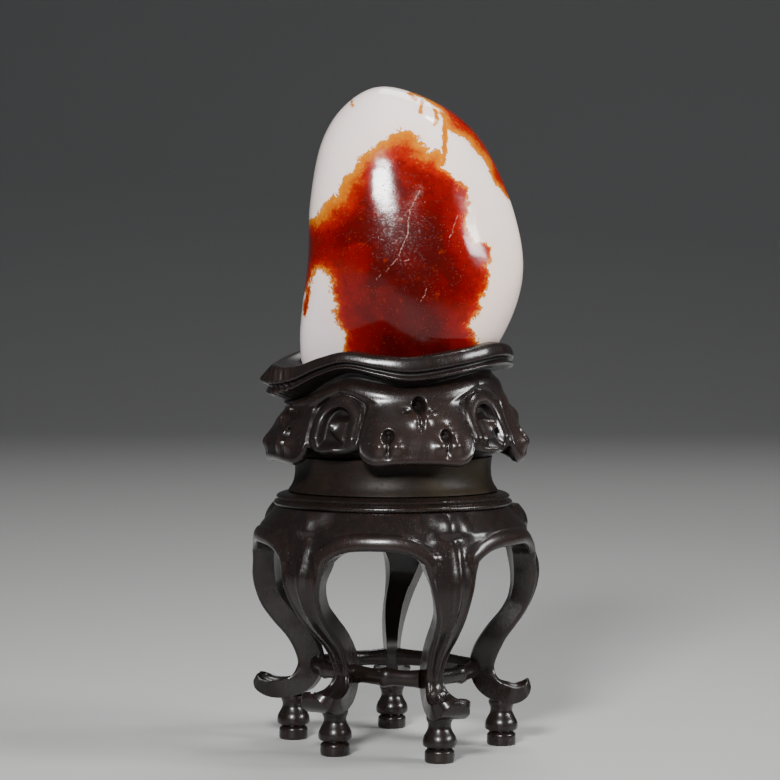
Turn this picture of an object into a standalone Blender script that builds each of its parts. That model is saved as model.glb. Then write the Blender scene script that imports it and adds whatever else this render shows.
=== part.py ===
"""Jade pebble on a carved stand of dark hardwood.

A white nephrite pebble with a russet skin stands in a socket that follows its underside. The stand has an
oval seat with a wavy leaf rim and a skirt of cloud lappets, a plain coved waist, a moulded round board, five
curved legs with aprons between them, five stretchers at the ankles and a small turned foot under each toe.

Sizes are in millimetres and angles in degrees. An angle round the stand is 0 at the front (-Y) and grows
towards the right (+X). The mesh builder turns millimetres into metres.
"""

import bisect
import math

import bmesh
import bpy
from mathutils import Vector

MILLIMETRE = 0.001
GAP = 0.3

# Feet, board, waist and seat, by the heights of their undersides and tops.
FOOT_TOP = 8.0
APRON_TOP = 48.3
BOARD_BOTTOM = 48.6
BOARD_TOP = 51.1
WAIST_TOP = 58.2
SEAT_BOTTOM = WAIST_TOP + GAP

# The seat is oval to suit the stone, and the stand is round from the board down.
ROUND_BELOW = 50.0
OVAL_ABOVE = 76.0
OVAL_RATIO = 0.86

# Pebble.
PEBBLE_CENTRE = Vector((2.6, 0.0, 101.0))
PEBBLE_OUTLINE = [
    (26.8, 96.5),
    (26.0, 105.4),
    (21.7, 115.0),
    (15.8, 123.8),
    (7.0, 129.6),
    (-2.6, 131.9),
    (-9.8, 128.0),
    (-14.5, 120.4),
    (-16.7, 108.4),
    (-17.3, 96.0),
    (-19.0, 80.5),
    (-17.2, 74.2),
    (-6.0, 72.3),
    (8.0, 72.8),
    (17.5, 76.5),
    (23.6, 85.4),
]
PEBBLE_HALF_DEPTH = 17.6
PEBBLE_TAPER = 0.13
PEBBLE_SQUARENESS = 2.5
FACET_SHARPNESS = 14
# Worn faces of the pebble: direction round the stand, tilt above the horizon, distance from its centre.
PEBBLE_FACETS = [
    (50, 16, 19.6),
    (128, 4, 19.0),
    (-140, 8, 17.4),
    (-36, -20, 19.4),
]
PEBBLE_RINGS = 18
PEBBLE_COLUMNS = 30

# Seat: the leaf rim, the neck under it, and the skirt of lappets.
SEAT_COLUMNS = 90
# The five lappets are carved by eye, so they sit unevenly. Their shapes are given for a gap of 80 degrees.
LAPPET_ANGLES = [11, 91, 164, 229, 294]
LAPPET_GAP = 80
RIM_HEIGHT = 77.4
# The wavy rim, freely carved: angle, height of its middle. It droops into a lobe at the left.
RIM_LINE = [
    (-152, 78.5),
    (-122, 76.9),
    (-98, 74.9),
    (-78, 74.0),
    (-56, 74.4),
    (-38, 76.7),
    (-24, 78.0),
    (-8, 77.1),
    (7, 76.4),
    (20, 76.9),
    (35, 77.9),
    (58, 79.2),
    (78, 79.0),
    (108, 77.4),
    (138, 78.7),
    (168, 77.3),
]
RIM_LOBE_ANGLE = -76
RIM_LOBE_SPREAD = 24
RIM_LOBE_REACH = 1.5
SKIRT_TOP = 74.0
SKIRT_HANG = 57.2
SKIRT_THICKNESS = 1.9
SKIRT_LEAN = 0.6
LAPPET_STEP = 1.2
LAPPET_CORNER_ANGLE = 18
LAPPET_CORNER_RISE = 3.5
LAPPET_HALF_ANGLE = 26
# Half the angle that a lappet covers, by height. Above the lobes the lappets run into one another.
LAPPET_SIDE = [
    (57.0, 26.0),
    (61.0, 26.5),
    (64.0, 26.0),
    (66.5, 25.0),
    (68.0, 24.0),
    (69.3, 25.0),
    (70.3, 31.0),
    (71.0, 38.0),
    (71.6, 44.0),
]
SKIRT_PROFILE = [
    (57.2, 25.0),
    (60.0, 25.3),
    (62.5, 24.8),
    (65.0, 23.6),
    (67.5, 22.2),
    (69.5, 21.0),
    (71.2, 20.6),
    (72.4, 20.8),
    (73.4, 20.3),
    (74.0, 19.6),
]
SKIRT_ROWS = [58.2, 60.2, 61.8, 63.4, 65.0, 66.6, 68.2, 69.8, 71.4, 72.8]
# Eyes bored in each lappet: angle from the lappet's middle, height, depth.
LAPPET_EYES = [(0, 68.6, 1.0), (-12, 63.2, 1.0), (12, 63.2, 1.0)]
LOBE_HOLLOW = (66.0, 0.8)
EYE_RADIUS = 1.1
# Leaf rim, as distance beyond the rim's outer radius and height above its middle.
RIM_RADIUS = 24.2
RIM_SECTION = [(-4.4, -2.9), (-2.4, -2.4), (-0.2, -2.0), (0.2, -1.5), (-0.4, -0.9), (-0.7, 0.4), (-1.4, 1.5)]
SOCKET_CLEARANCE = 0.5
SOCKET_LIP = 1.1
SOCKET_WALL = [77.6, 75.0]
SOCKET_FLOOR = [0.72, 0.38]

# Waist and board, as radius and height.
WAIST_PROFILE = [
    (21.0, BOARD_TOP + GAP),
    (20.4, BOARD_TOP + 1.0),
    (19.7, BOARD_TOP + 2.4),
    (19.5, BOARD_TOP + 4.4),
    (19.8, WAIST_TOP),
]
BOARD_PROFILE = [
    (22.8, BOARD_BOTTOM),
    (23.9, BOARD_BOTTOM + 0.3),
    (23.9, BOARD_BOTTOM + 0.9),
    (23.1, BOARD_BOTTOM + 1.2),
    (23.4, BOARD_BOTTOM + 1.7),
    (21.9, BOARD_TOP),
]
TURNED_COLUMNS = 36

# Legs, freely carved: angle of the shoulder, x and y of the foot, way that the toe points, its length.
LEGS = [
    (24.5, 9.0, -20.6, 26, 1.0),
    (95.0, 21.8, 0.6, 91, 0.75),
    (174.0, -0.2, 22.8, 180, 1.0),
    (253.0, -20.3, 8.2, 250, 1.03),
    (320.0, -11.4, -12.4, 324, 1.0),
]
LEAN_TOP = 37.0
LEAN_BOTTOM = 18.0
APRON_HALF_SEAM = 6.1
# Leg, from the board to the toe: radius and height of its outer line, half width, thickness, crown.
LEG_STATIONS = [
    (24.0, 48.3, 5.0, 4.4, 0.0),
    (26.6, 46.6, 5.5, 4.6, 0.1),
    (27.4, 44.9, 5.7, 4.6, 0.1),
    (27.6, 43.6, 5.8, 4.6, 0.2),
    (28.9, 41.2, 6.1, 4.6, 0.3),
    (29.7, 38.2, 5.6, 4.6, 0.7),
    (29.7, 34.8, 4.7, 4.5, 1.0),
    (29.2, 31.2, 3.8, 4.3, 1.0),
    (27.7, 27.8, 3.1, 4.0, 0.9),
    (25.2, 24.5, 2.7, 3.9, 0.8),
    (22.7, 21.4, 2.3, 4.0, 0.7),
    (21.1, 18.2, 1.9, 4.5, 0.5),
    (20.5, 15.6, 1.8, 4.6, 0.3),
    (21.4, 13.5, 2.4, 4.3, 0.0),
    (23.4, 12.2, 3.3, 3.6, -0.5),
    (25.8, 11.7, 3.9, 3.2, -0.8),
    (28.2, 12.0, 3.8, 2.7, -0.8),
    (29.8, 12.9, 2.7, 1.6, -0.3),
]
LEG_BACK_WIDTH = 0.8
LEG_FACE_STEPS = [-1.0, -0.5, 0.0, 0.5, 1.0]
# Arch of an apron: where its edge meets the legs, how far it rises, how square its corners are.
ARCH_FOOT = 38.8
ARCH_RISE = 3.0
ARCH_POWER = 3.5
APRON_STEPS = 8
APRON_ROLL = 0.5
APRON_THICKNESS = 3.2

# Stretcher between two ankles, as radius and height, and how much it swells at its middle.
STRETCHER_SECTION = [(18.2, 13.9), (19.1, 15.0), (18.5, 16.5), (16.4, 17.2), (14.4, 16.6), (14.6, 14.4)]
STRETCHER_MIDDLE = (16.7, 15.5)
STRETCHER_STEPS = 6
STRETCHER_SWELL = 0.18
STRETCHER_BOW = 0.1
ANKLE_HALF_WIDTH = 2.1

# Turned foot under each toe, as radius and height.
FOOT_RING = 22.4
FOOT_COLUMNS = 12
FOOT_PROFILE = [(2.9, 0.0), (2.9, 2.2), (2.3, 2.7), (3.3, 3.4), (3.2, 5.2), (2.3, 6.5), (2.4, FOOT_TOP)]


def oval(height):
    """Depth of the stand's plan over its width at a height."""
    share = (height - ROUND_BELOW) / (OVAL_ABOVE - ROUND_BELOW)
    return 1.0 + (OVAL_RATIO - 1.0) * min(1.0, max(0.0, share))


def around(angle, radius, height):
    """A point at an angle and radius round the stand's axis."""
    turn = math.radians(angle)
    return Vector((radius * math.sin(turn), -radius * math.cos(turn) * oval(height), height))


def from_nearest(angle, first, sector):
    """Angle from the nearest of the middles that repeat every sector degrees."""
    return (angle - first + sector / 2) % sector - sector / 2


def smooth_value(points, at):
    """Value at a position on a smooth curve through (position, value) points in rising order."""
    if at <= points[0][0]:
        return points[0][1]
    if at >= points[-1][0]:
        return points[-1][1]
    i = bisect.bisect_right([p[0] for p in points], at) - 1
    slopes = []
    for k in (i, i + 1):
        low = points[max(0, k - 1)]
        high = points[min(len(points) - 1, k + 1)]
        slopes.append((high[1] - low[1]) / (high[0] - low[0]))
    span = points[i + 1][0] - points[i][0]
    t = (at - points[i][0]) / span
    start, end = points[i][1], points[i + 1][1]
    return (
        start * (2 * t**3 - 3 * t**2 + 1)
        + end * (3 * t**2 - 2 * t**3)
        + span * slopes[0] * (t**3 - 2 * t**2 + t)
        + span * slopes[1] * (t**3 - t**2)
    )


def closed_curve(points, steps):
    """Points on a closed smooth curve through the given points."""
    curve = []
    count = len(points)
    for i in range(count):
        before, start, end, after = (Vector(points[(i + k) % count]) for k in (-1, 0, 1, 2))
        for step in range(steps):
            t = step / steps
            curve.append(
                0.5
                * (
                    2 * start
                    + (end - before) * t
                    + (2 * before - 5 * start + 4 * end - after) * t**2
                    + (3 * start - before - 3 * end + after) * t**3
                )
            )
    return curve


def outline_table():
    """Directions and distances of the pebble's outline, seen from its centre, in rising order."""
    table = []
    for point in closed_curve(PEBBLE_OUTLINE, 12):
        x = point[0] - PEBBLE_CENTRE.x
        z = point[1] - PEBBLE_CENTRE.z
        table.append((math.atan2(z, x) % math.tau, math.hypot(x, z)))
    table.sort()
    first, last = table[0], table[-1]
    return [(last[0] - math.tau, last[1]), *table, (first[0] + math.tau, first[1])]


OUTLINE_TABLE = outline_table()
OUTLINE_DIRECTIONS = [entry[0] for entry in OUTLINE_TABLE]


def outline_distance(x, z):
    """Distance of the pebble's outline from its centre, in the direction of (x, z)."""
    direction = math.atan2(z, x) % math.tau
    i = bisect.bisect_right(OUTLINE_DIRECTIONS, direction) - 1
    i = min(i, len(OUTLINE_TABLE) - 2)
    low, high = OUTLINE_TABLE[i], OUTLINE_TABLE[i + 1]
    share = (direction - low[0]) / (high[0] - low[0])
    return low[1] + (high[1] - low[1]) * share


def facing(angle, tilt):
    """Unit vector at an angle round the stand and a tilt above the horizon."""
    turn, rise = math.radians(angle), math.radians(tilt)
    return Vector((math.sin(turn) * math.cos(rise), -math.cos(turn) * math.cos(rise), math.sin(rise)))


FACET_PLANES = [(facing(angle, tilt), distance) for angle, tilt, distance in PEBBLE_FACETS]


def pebble_distance(direction):
    """Distance of the pebble's surface from its centre, along a unit vector."""
    power = PEBBLE_SQUARENESS
    side = math.hypot(direction.x, direction.z) / outline_distance(direction.x, direction.z)
    depth = abs(direction.y) / (PEBBLE_HALF_DEPTH * (1 - PEBBLE_TAPER * direction.z))
    body = (side**power + depth**power) ** (1 / power)
    worn = body**FACET_SHARPNESS
    for normal, distance in FACET_PLANES:
        worn += (max(0.0, normal.dot(direction)) / distance) ** FACET_SHARPNESS
    return worn ** (-1 / FACET_SHARPNESS)


def pebble_reach(start, direction):
    """Distance from a point inside the pebble to its surface, along a unit vector."""
    near, far = 0.0, 40.0
    for _ in range(26):
        middle = (near + far) / 2
        offset = start + direction * middle - PEBBLE_CENTRE
        if offset.length < pebble_distance(offset.normalized()):
            near = middle
        else:
            far = middle
    return near


def pebble_rings():
    """Rings of the pebble's surface from its underside to its top, with a single point at each end."""
    rings = []
    for i in range(PEBBLE_RINGS + 1):
        tilt = -90 + 180 * i / PEBBLE_RINGS
        columns = 1 if i in (0, PEBBLE_RINGS) else PEBBLE_COLUMNS
        ring = []
        for k in range(columns):
            direction = facing(360 * k / PEBBLE_COLUMNS, tilt)
            ring.append(PEBBLE_CENTRE + direction * pebble_distance(direction))
        rings.append(ring)
    return rings


def rim_height(angle):
    """Height of the middle of the wavy rim."""
    first, last = RIM_LINE[0], RIM_LINE[-1]
    line = [(last[0] - 360, last[1]), *RIM_LINE, (first[0] + 360, first[1])]
    return smooth_value(line, from_nearest(angle, 0, 360))


def rim_radius(angle):
    """Outer radius of the wavy rim."""
    away = from_nearest(angle, RIM_LOBE_ANGLE, 360) / RIM_LOBE_SPREAD
    return RIM_RADIUS + RIM_LOBE_REACH * math.exp(-(away**2))


def from_lappet(angle):
    """Angle from the nearest lappet's middle, with the gap that it lies in stretched to LAPPET_GAP."""
    first = LAPPET_ANGLES[0]
    turned = (angle - first) % 360
    for start, end in zip(LAPPET_ANGLES, LAPPET_ANGLES[1:] + [first + 360]):
        if turned <= end - first:
            share = (turned + first - start) / (end - start)
            break
    return LAPPET_GAP * (share if share < 0.5 else share - 1)


def skirt_edge(angle):
    """Height of the skirt's scalloped lower edge."""
    away = abs(from_lappet(angle))
    if away < LAPPET_CORNER_ANGLE:
        return SKIRT_HANG + 0.4 * math.cos(math.radians(90 * away / LAPPET_CORNER_ANGLE))
    bend = min(1.0, (away - LAPPET_CORNER_ANGLE) / (LAPPET_HALF_ANGLE - LAPPET_CORNER_ANGLE))
    corner = SKIRT_HANG + LAPPET_CORNER_RISE * (1 - math.sqrt(1 - bend**2))
    across = (LAPPET_GAP / 2 - away) / (LAPPET_GAP / 2 - LAPPET_HALF_ANGLE)
    lobe = SKIRT_HANG + 2.2 + (LAPPET_CORNER_RISE - 2.2) * across**2
    return corner if away < LAPPET_HALF_ANGLE else lobe


def skirt_relief(angle, height):
    """How far the carving stands out from the skirt's plain profile."""
    away = from_lappet(angle)
    inside = smooth_value(LAPPET_SIDE, height) - abs(away)
    step = LAPPET_STEP * min(1.0, max(0.0, inside / 3 + 0.5))
    fade = min(1.0, max(0.0, (71.5 - height) / 2))
    relief = fade * (step - LAPPET_STEP / 2 + SKIRT_LEAN * math.sin(math.radians(angle)))
    for eye_angle, eye_height, depth in LAPPET_EYES:
        across = math.radians(away - eye_angle) * smooth_value(SKIRT_PROFILE, height)
        relief -= depth * math.exp(-(across**2 + (height - eye_height) ** 2) / EYE_RADIUS**2)
    across = math.radians(LAPPET_GAP / 2 - abs(away)) * smooth_value(SKIRT_PROFILE, height)
    hollow_height, depth = LOBE_HOLLOW
    relief -= depth * math.exp(-(across**2 + (height - hollow_height) ** 2) / EYE_RADIUS**2)
    return relief


def seat_column(angle):
    """Section of the seat at one angle, from its flat underside round its outside to the socket's floor."""
    column = []
    edge = skirt_edge(angle)
    edge_radius = smooth_value(SKIRT_PROFILE, edge) + skirt_relief(angle, edge)
    column.append(around(angle, 20.2, SEAT_BOTTOM))
    column.append(around(angle, 21.2, SEAT_BOTTOM + 1.6))
    column.append(around(angle, edge_radius - SKIRT_THICKNESS, edge + 0.6))
    column.append(around(angle, edge_radius - 0.5, edge))
    lift = rim_height(angle) - RIM_HEIGHT
    for plain in SKIRT_ROWS:
        hanging = max(0.0, (63.0 - plain) / (63.0 - SKIRT_ROWS[0]))
        height = plain + (edge - SKIRT_HANG) * hanging
        radius = smooth_value(SKIRT_PROFILE, height) + skirt_relief(angle, height)
        rising = min(1.0, max(0.0, (height - 66) / (SKIRT_TOP - 66)))
        column.append(around(angle, radius, height + lift * rising))
    middle, outer = rim_height(angle), rim_radius(angle)
    for beyond, above in RIM_SECTION:
        column.append(around(angle, outer + beyond, middle + above))
    lip = socket_point(angle, middle + SOCKET_LIP)
    crest = column[-1]
    column.append(crest.lerp(lip, 0.45) + Vector((0, 0, 0.45)))
    column.append(lip)
    for height in SOCKET_WALL:
        if height < middle + SOCKET_LIP - 0.5:
            column.append(socket_point(angle, height))
        else:
            column.append(socket_point(angle, middle + SOCKET_LIP - 0.4))
    lowest = column[-1]
    for share in SOCKET_FLOOR:
        column.append(socket_floor(lowest.x * share, lowest.y * share))
    return column


def socket_point(angle, height):
    """Point on the socket's wall, clear of the pebble all round it."""
    outward = around(angle, 1.0, height) - Vector((0, 0, height))
    start = Vector((0, 0, height))
    reach = pebble_reach(start, outward.normalized()) + SOCKET_CLEARANCE
    return start + outward.normalized() * reach


def socket_floor(x, y):
    """Point on the socket's floor, clear of the pebble above it."""
    start = Vector((x, y, PEBBLE_CENTRE.z - 18))
    reach = pebble_reach(start, Vector((0, 0, -1))) + SOCKET_CLEARANCE
    return start - Vector((0, 0, reach))


def seat_rings():
    """Rings of the seat from the middle of its underside to the middle of the socket's floor."""
    start = LAPPET_ANGLES[0]
    columns = [seat_column(start + 360 * k / SEAT_COLUMNS) for k in range(SEAT_COLUMNS)]
    rings = [list(ring) for ring in zip(*columns)]
    return [[Vector((0, 0, SEAT_BOTTOM))], *rings, [socket_floor(0.0, 0.0)]]


def turned_rings(profile, columns, x=0.0, y=0.0):
    """Rings of a turned piece between two flat ends, about an upright line."""
    rings = [[Vector((x, y, profile[0][1]))]]
    for radius, height in profile:
        ring = [around(360 * k / columns, radius, height) + Vector((x, y, 0)) for k in range(columns)]
        rings.append(ring)
    rings.append([Vector((x, y, profile[-1][1]))])
    return rings


def leg_normal(i):
    """Unit vector out of the leg's face at a station, as (radius, height)."""
    low = LEG_STATIONS[min(len(LEG_STATIONS) - 1, i + 1)]
    high = LEG_STATIONS[max(0, i - 1)]
    along = Vector((low[0] - high[0], low[1] - high[1])).normalized()
    return Vector((-along.y, along.x))


def leg_point(leg, radius, across, height, level):
    """A point of a leg. Below the knee, a leg leans from its shoulder's angle to its own foot and toe."""
    angle, foot_x, foot_y, toe_angle, toe_length = leg
    upper = around(angle + math.degrees(across / radius), radius, height)
    turn = math.radians(toe_angle)
    outward = radius - FOOT_RING
    outward *= toe_length if outward > 0 else 1.0
    lower = Vector((foot_x, foot_y, height))
    lower += outward * Vector((math.sin(turn), -math.cos(turn), 0))
    lower += across * Vector((math.cos(turn), math.sin(turn), 0))
    share = min(1.0, max(0.0, (LEAN_TOP - level) / (LEAN_TOP - LEAN_BOTTOM)))
    return upper.lerp(lower, share * share * (3 - 2 * share))


def leg_rings(leg):
    """Sections of a leg from the board down to the tip of its toe."""
    rings = []
    for i, (radius, height, half_width, thickness, crown) in enumerate(LEG_STATIONS):
        normal = leg_normal(i)
        ring = []
        for step in LEG_FACE_STEPS:
            rise = crown * (1 - step**2)
            face = Vector((radius, height)) + normal * rise
            ring.append(leg_point(leg, face.x, half_width * step, face.y, height))
        for step in reversed(LEG_FACE_STEPS[::2]):
            back = Vector((radius, height)) - normal * thickness
            across = LEG_BACK_WIDTH * half_width * step * back.x / radius
            ring.append(leg_point(leg, back.x, across, min(back.y, APRON_TOP), height))
        rings.append(ring)
    return rings


def shoulder_radius(height):
    """Radius of the plain face that the legs and the aprons share, at a height."""
    return smooth_value([(station[1], station[0]) for station in reversed(LEG_STATIONS[:6])], height)


def arch_height(share):
    """Height of an apron's arched lower edge, from its middle (0) to its seam with a leg (1)."""
    return ARCH_FOOT + ARCH_RISE * (1 - abs(share) ** ARCH_POWER)


def apron_rings(first, second):
    """Sections of the apron between two legs, across its arch."""
    seam_gap = math.degrees((APRON_HALF_SEAM + GAP) / 28.0)
    start, end = first + seam_gap, second - seam_gap
    rings = []
    for k in range(APRON_STEPS + 1):
        share = math.sin(math.radians(90) * (2 * k / APRON_STEPS - 1))
        angle = (start + end) / 2 + (end - start) / 2 * share
        edge = arch_height(share)
        section = [(shoulder_radius(h), h) for h in (APRON_TOP, 46.6, 44.9, 43.6)]
        section.append((shoulder_radius(edge + 1.0) + APRON_ROLL, edge + 0.8))
        section.append((shoulder_radius(edge), edge))
        section.append((shoulder_radius(edge) - APRON_THICKNESS, edge + 0.3))
        section.append((shoulder_radius(APRON_TOP) - APRON_THICKNESS, APRON_TOP))
        rings.append([around(angle, radius, height) for radius, height in section])
    return rings


def stretcher_rings(first, second):
    """Sections of the stretcher between the ankles of two legs."""
    clear = ANKLE_HALF_WIDTH + GAP
    rings = []
    for k in range(STRETCHER_STEPS + 1):
        share = k / STRETCHER_STEPS
        swell = 1 + STRETCHER_SWELL * (math.cos(2 * math.tau * (share - 0.5)) - 1) / 2
        ring = []
        for radius, height in STRETCHER_SECTION:
            middle = Vector(STRETCHER_MIDDLE)
            grown = middle + (Vector((radius, height)) - middle) * swell
            start = leg_point(first, grown.x, clear, grown.y, 0.0)
            end = leg_point(second, grown.x, -clear, grown.y, 0.0)
            along = end - start
            bow = STRETCHER_BOW * math.sin(math.pi * share)
            ring.append(start + along * share + Vector((along.y, -along.x, 0)) * bow)
        rings.append(ring)
    return rings


def make_material(name, colour, roughness):
    """A Principled material with one colour and roughness."""
    material = bpy.data.materials.new(name)
    material.use_nodes = True
    shader = material.node_tree.nodes["Principled BSDF"]
    shader.inputs["Base Color"].default_value = (*colour, 1.0)
    shader.inputs["Roughness"].default_value = roughness
    shader.inputs["Metallic"].default_value = 0.0
    return material


def make_solid(name, rings, material, parent, sharp_angle=40):
    """A closed object from rings of points in millimetres. An end ring of one point is a pole."""
    mesh = bpy.data.meshes.new(name)
    bm = bmesh.new()
    loops = [[bm.verts.new(point * MILLIMETRE) for point in ring] for ring in rings]
    for low, high in zip(loops, loops[1:]):
        count = max(len(low), len(high))
        for k in range(count):
            below = [low[i % len(low)] for i in (k, k + 1)]
            above = [high[i % len(high)] for i in (k + 1, k)]
            bm.faces.new(dict.fromkeys(below + above))
    for end in (loops[0], loops[-1]):
        if len(end) > 1:
            bm.faces.new(end)
    bmesh.ops.recalc_face_normals(bm, faces=bm.faces)
    bm.to_mesh(mesh)
    bm.free()
    mesh.shade_smooth()
    mesh.set_sharp_from_angle(angle=math.radians(sharp_angle))
    mesh.materials.append(material)
    solid = bpy.data.objects.new(name, mesh)
    bpy.context.scene.collection.objects.link(solid)
    solid.parent = parent
    return solid


def centre_on_origin(root):
    """Moves the whole object so that the middle of its footprint's box is at the origin."""
    bpy.context.view_layer.update()
    corners = [child.matrix_world @ vertex.co for child in root.children for vertex in child.data.vertices]
    for axis in (0, 1):
        values = [corner[axis] for corner in corners]
        root.location[axis] = -(min(values) + max(values)) / 2


def main():
    for leftover in list(bpy.data.objects):
        bpy.data.objects.remove(leftover)
    root = bpy.data.objects.new("stand_axis", None)
    bpy.context.scene.collection.objects.link(root)
    jade = make_material("jade", (0.86, 0.83, 0.77), 0.16)
    wood = make_material("dark_hardwood", (0.022, 0.013, 0.011), 0.24)

    make_solid("jade_pebble", pebble_rings(), jade, root, sharp_angle=60)
    make_solid("carved_seat", seat_rings(), wood, root)
    make_solid("waist", turned_rings(WAIST_PROFILE, TURNED_COLUMNS), wood, root)
    make_solid("top_board", turned_rings(BOARD_PROFILE, TURNED_COLUMNS), wood, root)
    for i, leg in enumerate(LEGS):
        following = LEGS[(i + 1) % len(LEGS)]
        next_angle = following[0] + (360 if following[0] < leg[0] else 0)
        make_solid(f"leg_{i + 1}", leg_rings(leg), wood, root)
        make_solid(f"apron_{i + 1}", apron_rings(leg[0], next_angle), wood, root)
        make_solid(f"stretcher_{i + 1}", stretcher_rings(leg, following), wood, root)
        make_solid(f"foot_{i + 1}", turned_rings(FOOT_PROFILE, FOOT_COLUMNS, leg[1], leg[2]), wood, root)
    centre_on_origin(root)


main()
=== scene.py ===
"""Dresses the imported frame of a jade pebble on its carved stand.

Lengths are in millimetres and angles in degrees until a mesh is made. An angle round the stand is 0 at the
front (-Y) and grows towards the right (+X). Heights start at the surface that the feet stand on.
"""

import math

import bmesh
import bpy
import numpy as np
from bpy.props import FloatProperty, FloatVectorProperty, IntProperty, PointerProperty
from bpy.types import Operator, Panel, PropertyGroup
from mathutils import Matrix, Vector


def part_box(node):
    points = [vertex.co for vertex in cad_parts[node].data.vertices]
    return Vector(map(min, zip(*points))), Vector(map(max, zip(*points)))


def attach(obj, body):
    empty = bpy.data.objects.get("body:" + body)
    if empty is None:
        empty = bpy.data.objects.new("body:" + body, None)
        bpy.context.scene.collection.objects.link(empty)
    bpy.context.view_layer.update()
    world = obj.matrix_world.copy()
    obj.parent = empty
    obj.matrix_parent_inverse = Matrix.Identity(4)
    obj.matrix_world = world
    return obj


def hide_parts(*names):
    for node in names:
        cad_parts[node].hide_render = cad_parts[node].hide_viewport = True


bl_info = {
    "name": "Jade pebble on a carved stand",
    "version": (1, 0, 0),
    "blender": (4, 5, 0),
    "location": "View3D > Sidebar > Jade pebble",
    "description": "Builds a polished jade pebble, its carved hardwood stand and a studio around them",
    "category": "Object",
}

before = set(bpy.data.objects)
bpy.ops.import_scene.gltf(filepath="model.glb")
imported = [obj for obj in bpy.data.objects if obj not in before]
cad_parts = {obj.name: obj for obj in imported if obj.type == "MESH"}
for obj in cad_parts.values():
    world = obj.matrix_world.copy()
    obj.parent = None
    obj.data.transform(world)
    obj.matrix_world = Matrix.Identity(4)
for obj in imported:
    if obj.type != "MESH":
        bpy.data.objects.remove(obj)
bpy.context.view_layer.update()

MILLIMETRE = 0.001
MERGE_DISTANCE = 1e-6
TURNED_SHARP_ANGLE = math.radians(50)
FRAME_SHARP_ANGLE = math.radians(60)

# Feet, board, waist and seat, by the heights of their undersides and tops.
APRON_TOP = 48.45
BOARD_BOTTOM = 48.5
BOARD_TOP = 51.2
WAIST_TOP = 58.4
SEAT_BOTTOM = 58.5

# The seat is oval to suit the stone, and the stand is round from the board down.
ROUND_BELOW = 50.0
OVAL_ABOVE = 76.0
OVAL_RATIO = 0.86

# Pebble: its outline from the front, and its worn faces as direction, tilt and distance from its centre.
PEBBLE_CENTRE = np.array((2.6, 0.0, 101.0))
PEBBLE_OUTLINE = [
    (26.8, 96.5),
    (26.0, 105.4),
    (21.7, 115.0),
    (15.8, 123.8),
    (7.0, 129.6),
    (-2.6, 131.9),
    (-9.8, 128.0),
    (-14.5, 120.4),
    (-16.7, 108.4),
    (-17.3, 96.0),
    (-19.0, 80.5),
    (-17.2, 74.2),
    (-6.0, 72.3),
    (8.0, 72.8),
    (17.5, 76.5),
    (23.6, 85.4),
]
OUTLINE_STEPS = 40
PEBBLE_HALF_DEPTH = 17.6
PEBBLE_TAPER = 0.13
PEBBLE_SQUARENESS = 2.5
FACET_SHARPNESS = 14
PEBBLE_FACETS = [
    (50, 16, 19.6),
    (128, 4, 19.0),
    (-140, 8, 17.4),
    (-36, -20, 19.4),
]

# The pebble's surface is searched for this far out, halving the gap this many times.
SEARCH_REACH = 40.0
SEARCH_HALVINGS = 30

# Russet skin of the pebble, as outlines seen from the front (x, height).
SKIN_FACE = [
    (1.4, 122.9),
    (4.9, 122.4),
    (5.6, 120.6),
    (7.0, 118.8),
    (9.6, 119.3),
    (10.5, 115.4),
    (12.7, 113.4),
    (14.6, 111.5),
    (15.6, 109.1),
    (14.6, 105.0),
    (15.9, 101.3),
    (19.8, 100.2),
    (19.0, 96.8),
    (18.7, 91.8),
    (17.7, 89.4),
    (17.5, 87.3),
    (15.4, 84.6),
    (16.8, 81.0),
    (16.5, 68.0),
    (-9.5, 68.0),
    (-9.9, 82.9),
    (-12.0, 85.8),
    (-11.4, 88.6),
    (-12.5, 91.4),
    (-12.3, 93.7),
    (-13.9, 95.3),
    (-15.1, 94.6),
    (-15.6, 92.7),
    (-17.0, 90.6),
    (-22.0, 88.0),
    (-22.0, 106.0),
    (-16.2, 105.6),
    (-14.6, 106.6),
    (-14.4, 108.4),
    (-11.6, 110.0),
    (-10.9, 111.6),
    (-9.9, 113.4),
    (-7.8, 115.0),
    (-7.2, 117.3),
    (-4.4, 118.8),
    (-3.4, 120.4),
    (-0.6, 122.0),
]
SKIN_SHOULDER = [
    (2.6, 130.6),
    (6.3, 128.9),
    (8.7, 126.7),
    (9.9, 124.5),
    (11.0, 122.2),
    (12.8, 121.6),
    (14.8, 120.6),
    (16.4, 118.4),
    (17.8, 117.2),
    (18.8, 115.0),
    (19.8, 112.6),
    (21.2, 111.2),
    (22.6, 109.2),
    (27.0, 107.0),
    (25.0, 120.0),
    (17.0, 130.0),
    (8.0, 135.0),
    (2.0, 134.0),
]
# Thin streaks of skin, as lines of (x, height) with the half width.
SKIN_STREAKS = [
    ([(10.2, 124.6), (10.1, 121.0), (9.9, 116.6)], 0.55),
    ([(3.2, 130.2), (3.9, 129.4), (4.3, 128.9)], 0.5),
    ([(5.8, 128.6), (5.5, 127.4), (5.3, 126.2)], 0.4),
    ([(8.4, 126.8), (8.6, 125.2), (8.2, 123.8)], 0.5),
    ([(-8.3, 129.1), (-8.0, 127.6)], 0.35),
    ([(-16.6, 92.0), (-17.6, 86.4)], 0.6),
]
# How fast the skin deepens inside each outline, and how soon the face's skin ends round the side.
SHOULDER_SHARE = 1.9
BACK_SHARE = 0.8
STREAK_SHARE = 3.0
ROUND_THE_SIDE = 1.1
# Depth that stands for no skin at all.
NO_SKIN = -9.0
# How much wider the yellow edge is on the upper left and along the top, and on the shoulder.
WIDE_FRINGE = 0.9
SHOULDER_FRINGE = 0.3
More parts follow.
